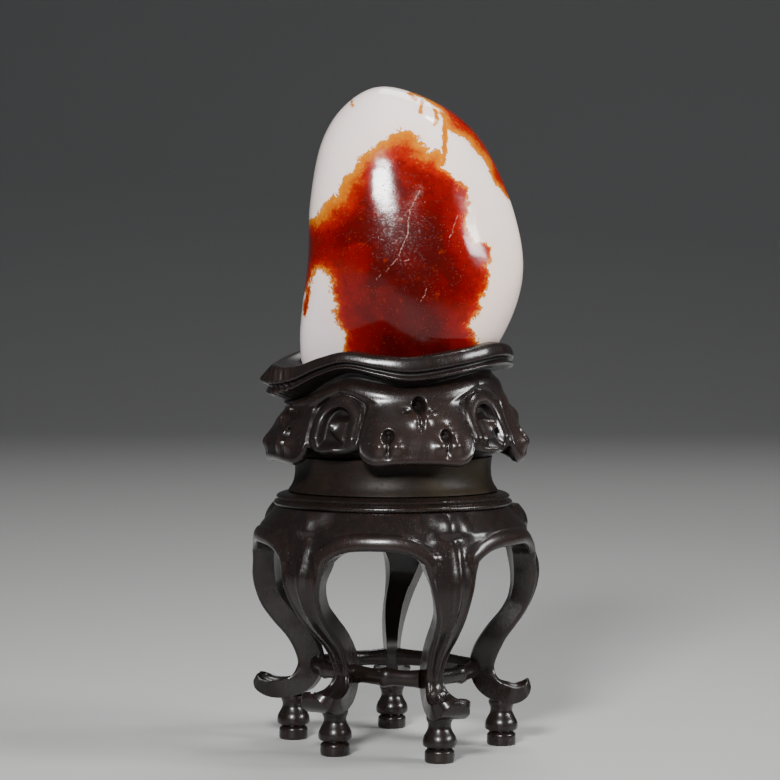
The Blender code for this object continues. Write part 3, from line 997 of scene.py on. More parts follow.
def hairline_cracks(finish, point):
    """How much pale crack shows at a place on the skin's front."""
    vector, _, y, _ = point
    wander = finish.shifted(vector, CRACK_WANDER, 1.1)
    parts = finish.node("ShaderNodeSeparateXYZ", None, {0: wander}).outputs
    across, up = (Value(finish, parts[i]) - CRACK_WANDER / 2 for i in (0, 2))
    line = None
    for start, end in CRACKS:
        near = finish.near_segment(across, up, start, end).rise(0.15, 0.04)
        line = near if line is None else line.larger(near)
    haze = finish.near_segment(across, up, *CRACKS[0]).rise(1.5, 0.2)
    broken = finish.noise(vector, 0.9, 3.0, 0.7).rise(0.40, 0.58)
    return (line * 0.45 + haze * 0.12) * broken * y.rise(-6.0, -9.0)


def jade_finish(colours):
    """Polished white nephrite with russet skin.

    The skin attribute is the depth inside its edge, and the fringe attribute is how wide its yellow edge is.
    """
    finish = Finish("polished_nephrite")
    point = finish.place()
    vector, _, _, z = point
    wide = finish.attribute("fringe")
    ragged = finish.shifted(vector, 2.0, 0.5)
    cloud = finish.noise(vector, 4.5, 4.0, 0.55) - 0.5
    tufts = finish.noise(ragged, 1.5, 4.0, 0.65) - 0.5
    threads = finish.noise(ragged, 0.5, 3.0, 0.65) - 0.5
    depth = finish.attribute("skin") + cloud * 1.8 + tufts * 3.2 + threads * 1.8 - 0.2
    inner = (depth / (wide * 7.0 + 2.6)).smaller(1.0)
    white = bare_jade(finish, colours, point, depth)
    skin = russet_skin(finish, colours, point, (ragged, cloud, tufts), depth, inner)
    skin = finish.mix(hairline_cracks(finish, point), skin, CRACK_COLOUR)
    cover = depth.rise(-0.12, 0.22)
    thick = depth.rise(1.0, 4.0)
    pits = finish.cells(vector, 0.5).rise(0.24, 0.10) * finish.noise(vector, 3.5).rise(0.44, 0.60) * thick
    grain = finish.noise(vector, 0.45, 3.0, 0.6).rise(0.5, 0.72) * z.rise(112.0, 104.0) * thick
    rough = 0.10 + pits * 0.35 + cover * 0.03 + grain * 0.16
    normal = finish.bump(finish.noise(vector, 7.0, 2.0), 0.14)
    normal = finish.bump(finish.noise(vector, 0.8, 3.0, 0.6), 0.010, normal)
    normal = finish.bump(1.0 - pits, 0.05, normal)
    constants = {
        "IOR": 1.52,
        "Specular IOR Level": 0.33,
        "Subsurface Weight": 0.15,
        "Subsurface Radius": (1.0, 0.8, 0.7),
        "Subsurface Scale": 0.0012,
    }
    return finish.done(finish.mix(cover, white, skin), rough, normal, constants)


def wood_finish(name, colours, grain, olive_and_light=0.0, matt=0.0, shine=0.32):
    """Waxed, nearly black hardwood with fine pores, drawn out along the grain.

    The relief attribute is how raised the wood is: raised parts are worn lighter, and low values paint shade
    into hollows, grooves, the socket and the neck under the rim. The olive strength is how olive it is,
    stronger on the right as painted light. Matt wood is rougher and has no wax.
    """
    finish = Finish(name)
    point, x, _, _ = finish.place()
    along = finish.stretched(finish.shifted(point, 1.6, 0.07), grain)
    relief = finish.attribute("carving")
    figure = finish.noise(along, 1.3, 4.0, 0.6)
    streak = finish.noise(along, 0.35, 3.0, 0.55)
    patch = finish.noise(point, 9.0)
    colour = finish.mix(figure.rise(0.4, 0.8) * 0.7, tuple(colours.dark_wood), tuple(colours.red_wood))
    colour = finish.mix(streak.rise(0.5, 0.75) * 0.45, colour, DARK_STREAK)
    if olive_and_light:
        # The olive patches are stronger on the right, the side that the side softbox lights: painted light.
        side = x.rise(-8.0, 14.0) * 0.8 + 0.2
        colour = finish.mix(patch.rise(0.3, 0.65) * side * olive_and_light, colour, tuple(colours.olive_and_lit_wood))
    colour = finish.mix(relief.rise(0.25, 0.9) * 0.55, colour, tuple(colours.worn_wood))
    # Painted shade: where the relief is low, in hollows, pits, grooves, the socket and under the rim, the
    # wood is darkened.
    colour = finish.mix(relief.rise(-0.2, -0.9) * 0.8, colour, PAINTED_HOLLOW_SHADE)
    settled = relief.rise(-0.35, -0.8) * relief.rise(-1.3, -1.0)
    dust = settled * finish.noise(point, 1.2, 4.0, 0.7).rise(0.5, 0.75)
    colour = finish.mix(dust * 0.16, colour, DUST)
    pore = finish.cells(along, 0.34).rise(0.20, 0.07) * finish.noise(point, 2.0, 2.0).rise(0.38, 0.6)
    fleck = finish.cells(point, 0.42).rise(0.16, 0.06) * finish.noise(point, 3.0, 2.0).rise(0.48, 0.62)
    colour = finish.mix(pore * 0.5, colour, PORE)
    colour = finish.mix(fleck * 0.14, colour, PALE_FLECK)
    rough = 0.24 + matt + patch.rise(0.3, 0.75) * 0.07 + streak.rise(0.4, 0.8) * 0.06 + pore * 0.2
    rough = rough + relief.rise(-0.1, -0.8) * 0.16
    normal = finish.bump(finish.noise(point, 4.5), 0.10)
    normal = finish.bump(streak, 0.022, normal)
    normal = finish.bump(finish.noise(point, 0.5, 3.0, 0.6), 0.014, normal)
    normal = finish.bump(1.0 - pore, 0.05, normal)
    if not matt:
        finish.join(finish.shader.inputs["Coat Weight"], relief.rise(-1.1, -0.4) * 0.32)
    constants = {"Specular IOR Level": shine, "Coat Roughness": 0.12, "Coat IOR": 1.4}
    return finish.done(colour, rough, normal, constants)


def floor_finish(colour):
    """Plain pale paper for the studio's floor."""
    finish = Finish("pale_floor")
    point = finish.place()[0]
    tone = tuple(colour)
    shade = finish.mix(finish.noise(point, 60.0) * 0.12, tone, tuple(0.93 * part for part in tone))
    normal = finish.bump(finish.noise(point, 0.8), 0.02)
    return finish.done(shade, 0.55, normal, {"IOR": 1.4})


# Sizes and colours that a user would change.


class PebbleLook(PropertyGroup):
    """Finish and fineness of the pebble."""

    white: FloatVectorProperty(
        name="White",
        description="Body colour",
        subtype="COLOR",
        default=(0.94, 0.825, 0.80),
    )
    # Warm white for the clouds and the lower right, darker than the white as painted shade there.
    warm_shaded_white: FloatVectorProperty(
        name="Warm white",
        description="Warmer clouds in the white",
        subtype="COLOR",
        default=(0.85, 0.69, 0.61),
    )
    cool_white: FloatVectorProperty(
        name="Cool white",
        description="Cooler white low on the left",
        subtype="COLOR",
        default=(0.80, 0.69, 0.72),
    )
    fringe: FloatVectorProperty(
        name="Fringe",
        description="Thin outer edge of the skin",
        subtype="COLOR",
        default=(0.56, 0.20, 0.001),
    )
    skin: FloatVectorProperty(
        name="Skin",
        description="Thicker part of the skin",
        subtype="COLOR",
        default=(0.27, 0.0030, 0.0006),
    )
    core: FloatVectorProperty(
        name="Core",
        description="Darkest middle of the skin",
        subtype="COLOR",
        default=(0.034, 0.0009, 0.0008),
    )
    columns: IntProperty(name="Columns", description="Points round the pebble", default=224, min=24, max=400)
    rings: IntProperty(name="Rings", description="Rings up the pebble", default=168, min=12, max=300)
    undulation: FloatProperty(
        name="Undulation",
        description="Height of the gentle waves left by hand polishing",
        subtype="DISTANCE",
        default=0.00012,
        precision=5,
    )


class StandLook(PropertyGroup):
    """Finish and carved relief of the stand."""

    dark_wood: FloatVectorProperty(
        name="Dark wood",
        description="Main colour",
        subtype="COLOR",
        default=(0.0075, 0.0052, 0.0046),
    )
    red_wood: FloatVectorProperty(
        name="Red wood",
        description="Redder figure in the grain",
        subtype="COLOR",
        default=(0.019, 0.0085, 0.0062),
    )
    # Olive patches, weighted to the right as painted light.
    olive_and_lit_wood: FloatVectorProperty(
        name="Olive wood",
        description="Dull patches of the waist",
        subtype="COLOR",
        default=(0.024, 0.018, 0.008),
    )
    worn_wood: FloatVectorProperty(
        name="Worn wood",
        description="Ridges rubbed by handling",
        subtype="COLOR",
        default=(0.026, 0.0145, 0.011),
    )
    seat_columns: IntProperty(name="Seat columns", description="Points round the seat", default=640, min=90)
    lappet_step: FloatProperty(
        name="Lappet step",
        description="Height of a lappet above the lobes between",
        subtype="DISTANCE",
        default=0.00125,
        precision=5,
    )
    eye_depth: FloatProperty(
        name="Eye depth",
        description="Depth of the eyes drilled in the lappets",
        subtype="DISTANCE",
        default=0.00115,
        precision=5,
    )
    roll_height: FloatProperty(
        name="Roll height",
        description="Height of the roll along each apron's arch",
        subtype="DISTANCE",
        default=0.0008,
        precision=5,
    )
    stretcher_size: FloatProperty(
        name="Stretcher size",
        description="Half the width of a stretcher's boss",
        subtype="DISTANCE",
        default=0.00148,
        precision=5,
    )
    foot_columns: IntProperty(name="Foot columns", description="Points round a foot", default=48, min=8)


class StudioLook(PropertyGroup):
    """Camera, lights and floor."""

    floor: FloatVectorProperty(
        name="Floor",
        description="Colour of the floor",
        subtype="COLOR",
        default=(0.44, 0.436, 0.43),
    )
    distance: FloatProperty(
        name="Distance",
        description="Camera's distance from the stand's axis",
        subtype="DISTANCE",
        default=0.560,
    )
    height: FloatProperty(name="Height", description="Camera's height", subtype="DISTANCE", default=0.0916)
    tilt: FloatProperty(
        name="Tilt", description="Camera's downward tilt", subtype="ANGLE", default=math.radians(2.07)
    )
    lens: FloatProperty(
        name="Lens", description="Focal length on a 36 mm sensor", subtype="DISTANCE_CAMERA", default=129.2
    )
    key_power: FloatProperty(name="Key power", description="Left softbox", subtype="POWER", default=0.98)
    side_power: FloatProperty(name="Side power", description="Right softbox", subtype="POWER", default=0.62)
    back_power: FloatProperty(name="Back power", description="Softbox behind", subtype="POWER", default=4.6)
    top_power: FloatProperty(name="Top power", description="Softbox overhead", subtype="POWER", default=0.2)
    surroundings: FloatProperty(
        name="Surroundings",
        description="Brightness of the room",
        subtype="FACTOR",
        default=0.12,
        min=0.0,
        max=1.0,
    )


# Operators.


def skin_depth(points):
    """How deep inside the nearest patch of skin each point of the pebble lies."""
    seen = points[:, [0, 2]]
    front = points[:, 1] < 0
    face = inside_outline(seen, SKIN_FACE)
    shoulder = SHOULDER_SHARE * inside_outline(seen, SKIN_SHOULDER)
    back = BACK_SHARE * inside_outline(seen, SKIN_BACK)
    wrapped = face - ROUND_THE_SIDE * points[:, 1]
    skin = np.where(front, np.maximum(face, shoulder), np.maximum(back, wrapped))
    for line, half_width in SKIN_STREAKS:
        streak = STREAK_SHARE * (half_width - distance_to_line(seen, np.array(line)))
        skin = np.maximum(skin, np.where(front, streak, NO_SKIN))
    fringe = WIDE_FRINGE * rise(-2.0, -9.0, seen[:, 0]) * rise(100.0, 108.0, seen[:, 1])
    fringe = np.maximum(fringe, WIDE_FRINGE * rise(112.0, 118.0, seen[:, 1]))
    return skin, np.maximum(fringe, np.where(shoulder > face, SHOULDER_FRINGE, 0.0))


def polish_waves(direction):
    """Gentle waves that don't repeat over the stone, at most 1.6 high or deep."""
    x, y, z = np.moveaxis(direction, -1, 0)
    waves = np.sin(5.1 * x + 2.3 * z + 0.6) * np.cos(3.7 * z - 2.9 * y)
    return waves + 0.6 * np.sin(8.3 * y + 4.1 * x * z + 1.9)


class PEBBLE_OT_stone(Operator):
    """Makes the polished pebble with its patches of russet skin."""

    bl_idname = "pebble.stone"
    bl_label = "Jade pebble"

    def execute(self, context):
        look = context.scene.pebble_look
        tilt = np.linspace(-90, 90, look.rings + 1)
        angle = 360 * np.arange(look.columns) / look.columns
        direction = facing(angle[None, :], tilt[:, None])
        worn = look.undulation / MILLIMETRE * (1.0 + 0.5 * polish_waves(direction))
        distance = pebble_distance(direction) - worn
        points = (PEBBLE_CENTRE + direction * distance[..., None]).reshape(-1, 3)
        skin, fringe = skin_depth(points)
        faces = grid_faces(look.rings + 1, look.columns, wrap=True)
        attributes = {"skin": skin, "fringe": fringe}
        piece = finish_mesh("polished_pebble", points, faces, jade_finish(look), attributes=attributes)
        place(piece, "jade", "jade_pebble")
        return {"FINISHED"}


def round_trip(line, angle):
    """Value at an angle of a smooth line of (angle, value) points that closes on itself."""
    first, last = line[0], line[-1]
    line = [(last[0] - 360, last[1]), *line, (first[0] + 360, first[1])]
    return smooth_value(line, from_nearest(angle, 0, 360))


def from_lappet(angle):
    """Angle from the nearest lappet's middle, with the gap that it lies in stretched to LAPPET_GAP."""
    starts = np.append(LAPPET_ANGLES, LAPPET_ANGLES[0] + 360)
    turned = (np.asarray(angle, float) - starts[0]) % 360 + starts[0]
    i = np.clip(np.searchsorted(starts, turned, side="right") - 1, 0, len(LAPPET_ANGLES) - 1)
    share = (turned - starts[i]) / (starts[i + 1] - starts[i])
    return LAPPET_GAP * np.where(share < 0.5, share, share - 1)


def skirt_edge(angle):
    """Height of the skirt's scalloped lower edge."""
    away = np.abs(from_lappet(angle))
    middle = SKIRT_HANG + 0.5 * np.cos(np.radians(90 * np.minimum(away / LAPPET_CORNER_ANGLE, 1.0)))
    bend = np.clip((away - LAPPET_CORNER_ANGLE) / (LAPPET_HALF_ANGLE - LAPPET_CORNER_ANGLE), 0.0, 1.0)
    corner = SKIRT_HANG + LAPPET_CORNER_RISE * (1 - np.sqrt(1 - bend**2))
    across = (LAPPET_GAP / 2 - away) / (LAPPET_GAP / 2 - LAPPET_HALF_ANGLE)
    lobe = SKIRT_HANG + 2.2 + (LAPPET_CORNER_RISE - 2.2) * across**2
    return np.where(away < LAPPET_CORNER_ANGLE, middle, np.where(away < LAPPET_HALF_ANGLE, corner, lobe))


def eye_relief(across, above, depth, spread, drop, hood):
    """A drilled eye, with a groove running down from it between two swellings."""
    reach = np.hypot(across, above)
    pit = -depth * (rise(1.35, 0.8, np.hypot(across, above * 0.9)) + np.maximum(0.0, 0.8 - reach))
    below = rise(0.4, -0.6, above)
    groove = -0.6 * depth * hump(across, 0.34) * below * rise(-drop - 3.0, -drop - 1.0, above)
    swell = hump(np.hypot(np.abs(across) - spread, (above + drop) * 0.8), 1.2)
    ridge = hood * hump(np.hypot((across - 0.4) * 0.7, above - 2.0), 0.8)
    return pit + groove + 0.85 * swell * (1 - rise(1.3, 0.9, reach)) + ridge


def lobe_relief(across, height):
    """Relief of the arched lobe between two lappets, with a curl in its hollow and a small drop below.

    The curl grows from the side where across is positive, and ends in a knob.
    """
    above = height - LOBE_HEIGHT
    reach = np.hypot(across, np.maximum(0.0, above))
    middle = (LOBE_OUTER + LOBE_INNER) / 2
    half = (LOBE_OUTER - LOBE_INNER) / 2
    band = np.sqrt(np.clip(1 - ((reach - middle) / (half + 0.25)) ** 2, 0.0, 1.0))
    band = band * rise(60.6, 63.0, height)
    tongue = rise(-1.9, -0.6, across) * rise(1.7, 0.5, above)
    tongue = tongue * rise(-3.0, -0.8, above + 0.75 * across)
    hollow = -1.2 * rise(LOBE_INNER + 0.2, LOBE_INNER - 0.5, reach) * rise(60.5, 62.5, height)
    hollow = hollow * (1 - 1.7 * tongue)
    knob = 1.0 * hump(np.hypot(across + 0.4, above - 0.1), 1.15)
    pendant = 0.8 * hump(np.hypot(across / 1.7, (height - 60.6) / 0.8), 1.0)
    return 1.05 * band + hollow + knob + pendant


def brow_relief(away, aside, height):
    """The tall notch round a lappet's middle eye, the hollows beside it and the swellings farther out."""
    across, above = aside / NOTCH_HALF_WIDTH, (height - NOTCH_LEVEL) / NOTCH_HALF_HEIGHT
    notch = rise(1.15, 0.65, np.hypot(across, above))
    hollows = hump(np.hypot((np.abs(aside) - HOLLOW_ASIDE) * 0.7, height - HOLLOW_LEVEL), 0.7)
    brows = BROW_HEIGHT * hump(np.abs(away) - BROW_ANGLE, 9.5) * hump(height - BROW_LEVEL, 1.0)
    return brows - NOTCH_DEPTH * notch - HOLLOW_DEPTH * hollows


def skirt_relief(angle, height, look):
    """How far the carved relief stands out from the skirt's plain profile."""
    away = from_lappet(angle)
    radius = smooth_value(SKIRT_PROFILE, height)
    inside = np.radians(smooth_value(LAPPET_SIDE, height) - np.abs(away)) * radius
    step = look.lappet_step / MILLIMETRE
    depth = look.eye_depth / MILLIMETRE
    relief = (0.65 * rise(-0.4, 0.4, inside) + 0.35 * rise(0.0, 3.4, inside)) * step - step / 2
    relief -= GROOVE_DEPTH * rise(*GROOVE_FADES, height) * hump(inside + 0.55, 0.4)
    relief += EDGE_BEAD_HEIGHT * hump(height - skirt_edge(angle) - 1.0, 0.8)
    lappet = rise(0.3, 1.5, inside)
    for eye_angle, eye_height, spread, drop, hood in LAPPET_EYES:
        across = np.radians(away - eye_angle) * radius
        relief += lappet * eye_relief(across, height - eye_height, depth, spread, drop, hood)
        relief += lappet * 0.22 * hump(np.hypot(across, height - eye_height + 1.4), 4.6)
    from_lobe = np.where(away > 0, away - LAPPET_GAP / 2, away + LAPPET_GAP / 2)
    towards_front = -np.sign(np.sin(np.radians(angle)))
    across = towards_front * np.radians(from_lobe) * radius
    relief += rise(0.5, -0.3, inside) * lobe_relief(across, height)
    relief += brow_relief(away, np.radians(away - LAPPET_EYES[0][0]) * radius, height)
    relief += rise(*LEAN_FADES, height) * SKIRT_LEAN * np.sin(np.radians(angle))
    return relief * rise(*CARVING_FADES, height)


def socket_wall(angle, height):
    """Points of the socket's wall, clear of the pebble all round it."""
    start = np.zeros((len(angle), 3))
    start[:, 2] = height
    outward = around(angle, 1.0, height) - start
    outward /= np.linalg.norm(outward, axis=1)[:, None]
    return start + outward * (pebble_reach(start, outward) + SOCKET_CLEARANCE)[:, None]


def socket_floor(flat):
    """Points of the socket's floor, clear of the pebble above it."""
    start = np.column_stack([flat, np.full(len(flat), SOCKET_SEARCH_FROM)])
    down = np.tile((0.0, 0.0, -1.0), (len(flat), 1))
    return start + down * (pebble_reach(start, down) + SOCKET_CLEARANCE)[:, None]


def skirt_rings(angle, edge, lift, look):
    """Rings up the carved face of the skirt and the neck, and the relief on them, lowered as painted shade
    in the pits and hollows and at the neck.
    """
    rows, carved = [], []
    for plain in np.linspace(SKIRT_HANG + 0.25, SKIRT_TOP - 0.4, SKIRT_ROWS):
        hanging = max(0.0, (EDGE_FOLLOWED_BELOW - plain) / (EDGE_FOLLOWED_BELOW - SKIRT_HANG))
        height = plain + (edge - SKIRT_HANG) * hanging
        relief = skirt_relief(angle, height, look)
        tuck = 0.45 * hump(height - edge, 0.45)
        rising = np.clip((height - RIM_FOLLOWED_ABOVE) / (SKIRT_TOP - RIM_FOLLOWED_ABOVE), 0.0, 1.0)
        radius = smooth_value(SKIRT_PROFILE, height) + relief - tuck
        rows.append(around(angle, radius, height + lift * rising))
        # The relief for the finish is pushed low at the neck under the rim, as painted shade there; the pits
        # and hollows paint shade too.
        carved.append(relief * 0.8 - 0.15 - 1.2 * rise(72.6, 73.8, height))
    return rows, carved


def rim_rings(angle, middle, swell):
    """Rings round the rolled leaf rim, with its groove, bead, fibres and knob, and the relief on them, with
    painted shade in the groove and under the rim.
    """
    rows, carved = [], []
    lobe = hump(from_nearest(angle, RIM_LOBE_ANGLE, 360), RIM_LOBE_SPREAD)
    knob = hump(from_nearest(angle, RIM_KNOB_ANGLE, 360), RIM_KNOB_SPREAD)
    cut = hump(from_nearest(angle, RIM_FIBRE_ANGLE, 360), RIM_FIBRE_SPREAD)
    turn = np.radians(angle)
    ripple = sum(height * np.sin(waves * turn) for height, waves in RIM_RIPPLES)
    for beyond, above in smooth_path(RIM_SECTION, RIM_ROWS):
        bent = 1.1 * above + np.sin(11 * turn)
        fibres = RIM_FIBRE_DEPTH * cut * np.sin(RIM_FIBRE_WAVES * turn + bent)
        bulge = RIM_KNOB_HEIGHT * knob * hump(above + 0.2, 0.9)
        raised = rise(-3.4, -1.6, beyond) * (fibres + ripple + bulge)
        radius = RIM_RADIUS + RIM_LOBE_REACH * lobe + beyond + raised
        rows.append(around(angle, radius, middle + above * swell))
        # Painted shade darkens the rim's groove and its underside.
        painted_shade = rise(-1.75, -2.4, above) + hump(above + 1.1, 0.3)
        carved.append(0.35 * hump(above - 0.4, 0.9) + 0.4 * hump(above + 1.69, 0.2) - painted_shade + 2.5 * fibres)
    return rows, carved


def socket_rings(angle, crest, middle, swell):
    """Rings from the rim's crest over the socket's lip, down its wall and across its floor."""
    lip = socket_wall(angle, middle + SOCKET_LIP * swell)
    rows = [crest + (lip - crest) * share + np.array((0, 0, lift)) for share, lift in RIM_CREST]
    # The relief falls into painted shade down the socket, darkest on its wall and floor.
    carved = [np.full(len(angle), 0.1 - 0.9 * share**4) for share, _ in RIM_CREST]
    for drop in SOCKET_DROPS:
        rows.append(socket_wall(angle, np.maximum(middle + SOCKET_LIP - drop, SOCKET_FLOOR)))
    lowest = rows[-1][:, :2]
    rows.extend(socket_floor(lowest * share) for share in SOCKET_SHARES)
    carved.extend([np.full(len(angle), -1.0)] * (len(rows) - len(carved)))
    return rows, carved


class STAND_OT_seat(Operator):
    """Carves the seat: its socket, wavy leaf rim, neck and skirt of cloud lappets."""

    bl_idname = "stand.seat"
    bl_label = "Carved seat"

    def execute(self, context):
        look = context.scene.stand_look
        angle = LAPPET_ANGLES[0] + 360 * np.arange(look.seat_columns) / look.seat_columns
        edge = skirt_edge(angle)
        edge_radius = smooth_value(SKIRT_PROFILE, edge) + skirt_relief(angle, edge, look)
        rows = [around(angle, radius, SEAT_BOTTOM + above) for radius, above in SEAT_UNDERSIDE]
        rows.extend(around(angle, edge_radius - inward, edge + above) for inward, above in SKIRT_UNDERSIDE)
        # Painted shade darkens the underside of the seat and skirt.
        carved = [np.full(len(angle), -0.8)] * len(rows)
        middle = round_trip(RIM_LINE, angle)
        swell = round_trip(RIM_SWELL, angle)
        skirt, skirt_relief_shade = skirt_rings(angle, edge, middle - RIM_HEIGHT, look)
        rim, rim_relief_shade = rim_rings(angle, middle, swell)
        socket, socket_relief_shade = socket_rings(angle, rim[-1], middle, swell)
        rows = [*rows, *skirt, *rim, *socket]
        carved = [*carved, *skirt_relief_shade, *rim_relief_shade, *socket_relief_shade]
        material = wood_finish("waxed_wood_seat", look, (1.0, 1.0, 0.28))
        faces = grid_faces(len(rows), len(angle), wrap=True)
        attributes = {"carving": np.concatenate(carved)}
        piece = finish_mesh("carved_leaf_seat", np.concatenate(rows), faces, material, attributes=attributes)
        place(piece, "dark_hardwood", "carved_seat")
        return {"FINISHED"}


# Geometry node trees.


class SizedTree(Nodes):
    """A geometry node tree under construction, with a named input for each of its sizes."""

    def __init__(self, name, sizes, counts=()):
        super().__init__(bpy.data.node_groups.new(name, "GeometryNodeTree"))
        sockets = [("Geometry", "INPUT", "NodeSocketGeometry")]
        sockets += [(key, "INPUT", "NodeSocketFloat") for key in sizes]
        sockets += [(key, "INPUT", "NodeSocketInt") for key in counts]
        sockets += [("Geometry", "OUTPUT", "NodeSocketGeometry")]
        for key, side, kind in sockets:
            self.tree.interface.new_socket(key, in_out=side, socket_type=kind)
        self.inputs = self.node("NodeGroupInput").outputs

    def first(self, kind, settings=None, sockets=None):
        """The first output of a node."""
        return self.node(kind, settings, sockets).outputs[0]

    def math(self, operation, *values):
        return self.first("ShaderNodeMath", {"operation": operation}, dict(enumerate(values)))

    def curve(self, share, knots, handle="AUTO"):
        """A value that follows a curve through (share, value) knots."""
        made = self.node("ShaderNodeFloatCurve", None, {"Value": share})
        curve = made.mapping.curves[0]
        curve.points[0].location, curve.points[1].location = knots[0], knots[-1]
        for knot in knots[1:-1]:
            curve.points.new(*knot)
        for point in curve.points:
            point.handle_type = handle
        made.mapping.update()
        return made.outputs[0]

    def done(self, geometry, material):
        """Ends the tree in one plain coated mesh."""
        real = self.first("GeometryNodeRealizeInstances", None, {"Geometry": geometry})
        coated = self.first("GeometryNodeSetMaterial", None, {"Geometry": real, "Material": material})
        self.node("NodeGroupOutput", None, {0: coated})
        return self.tree


def lathe_tree(name, profile, material):
    """Turns a profile round an upright line at each point of the object."""
    made = SizedTree(name, ("Widest radius", "Bottom", "Height"), ("Rows", "Columns"))
    low, high, widest = profile[0][1], profile[-1][1], profile[:, 0].max()
    reach = reach_along(profile)
    widths = list(zip(reach / reach[-1], profile[:, 0] / widest))
    levels = list(zip(reach / reach[-1], (profile[:, 1] - low) / (high - low)))
    sockets = {"Vertices X": made.inputs["Columns"], "Vertices Y": made.inputs["Rows"]}
    grid = made.first("GeometryNodeMeshGrid", None, {"Size X": 1.0, "Size Y": 1.0, **sockets})
    parts = made.node("ShaderNodeSeparateXYZ", None, {0: made.first("GeometryNodeInputPosition")}).outputs
    turn = made.math("MULTIPLY", made.math("ADD", parts["X"], 0.5), math.tau)
    share = made.math("ADD", parts["Y"], 0.5)
    radius = made.math("MULTIPLY", made.curve(share, widths, "VECTOR"), made.inputs["Widest radius"])
    level = made.curve(share, levels, "VECTOR")
    sockets = {
        "X": made.math("MULTIPLY", made.math("COSINE", turn), radius),
        "Y": made.math("MULTIPLY", made.math("SINE", turn), radius),
        "Z": made.math("MULTIPLY_ADD", level, made.inputs["Height"], made.inputs["Bottom"]),
    }
    position = made.first("ShaderNodeCombineXYZ", None, sockets)
    turned = made.first("GeometryNodeSetPosition", None, {"Geometry": grid, "Position": position})
    sockets = {"Geometry": turned, "Distance": MERGE_DISTANCE}
    merged = made.first("GeometryNodeMergeByDistance", None, sockets)
    smooth = made.first("GeometryNodeSetShadeSmooth", None, {"Geometry": merged})
    sockets = {"Points": made.inputs["Geometry"], "Instance": smooth}
    return made.done(made.first("GeometryNodeInstanceOnPoints", None, sockets), material)


def stretcher_tree(name, material):
    """Sweeps a rounded bar along each spline of the object, with a boss at its middle."""
    made = SizedTree(name, ("Half width", "Tallness"), ("Steps", "Sides"))
    sockets = {"Curve": made.inputs["Geometry"], "Count": made.inputs["Steps"]}
    resampled = made.first("GeometryNodeResampleCurve", None, sockets)
    upright = made.first("GeometryNodeSetCurveNormal", {"mode": "Z_UP"}, {"Curve": resampled})
    factor = made.node("GeometryNodeSplineParameter").outputs["Factor"]
    radius = made.math("MULTIPLY", made.curve(factor, STRETCHER_SWELL), made.inputs["Half width"])
    sockets = {"Resolution": made.inputs["Sides"], "Radius": 1.0}
    circle = made.node("GeometryNodeCurvePrimitiveCircle", None, sockets).outputs["Curve"]
    section = made.first("ShaderNodeCombineXYZ", None, {"X": 1.0, "Y": made.inputs["Tallness"], "Z": 1.0})
    bar = made.first("GeometryNodeTransform", None, {"Geometry": circle, "Scale": section})
    sockets = {"Curve": upright, "Profile Curve": bar, "Fill Caps": True, "Scale": radius}
    swept = made.first("GeometryNodeCurveToMesh", None, sockets)
    return made.done(made.first("GeometryNodeSetShadeSmooth", None, {"Geometry": swept}), material)


def run_tree(name, source, tree, sizes):
    """Runs a node tree on an object and keeps its result as a plain mesh."""
    modifier = source.modifiers.new("tree", "NODES")
    modifier.node_group = tree
    for item in tree.interface.items_tree:
        if item.in_out == "INPUT" and item.name != "Geometry":
            modifier[item.identifier] = sizes[item.name]
    bpy.context.scene.collection.objects.link(source)
    graph = bpy.context.evaluated_depsgraph_get()
    mesh = bpy.data.meshes.new_from_object(source.evaluated_get(graph), depsgraph=graph)
    mesh.name = name
    source.modifiers.remove(modifier)
    bpy.data.objects.remove(source)
    check_closed(mesh)
    piece = bpy.data.objects.new(name, mesh)
    bpy.context.scene.collection.objects.link(piece)
    return piece


def points_object(points):
    """An object of loose points, in millimetres about the stand's axis."""
    mesh = bpy.data.meshes.new("places")
    mesh.from_pydata((np.array(points, float) * MILLIMETRE + np.array(AXIS)).tolist(), [], [])
    return bpy.data.objects.new("places", mesh)


def turn_piece(name, profile, material, places, rows, columns):
    """A turned piece, repeated at each place."""
    profile = np.array([(0.0, profile[0][1]), *profile, (0.0, profile[-1][1])])
    low, high = profile[0][1] * MILLIMETRE, profile[-1][1] * MILLIMETRE
    sizes = {
        "Widest radius": profile[:, 0].max() * MILLIMETRE,
        "Bottom": low,
        "Height": high - low,
        "Rows": rows,
        "Columns": columns + 1,
    }
    piece = run_tree(name, points_object(places), lathe_tree(name + "_lathe", profile, material), sizes)
    piece.data.attributes.new("carving", "FLOAT", "POINT")
    piece.data.set_sharp_from_angle(angle=TURNED_SHARP_ANGLE)
    return piece


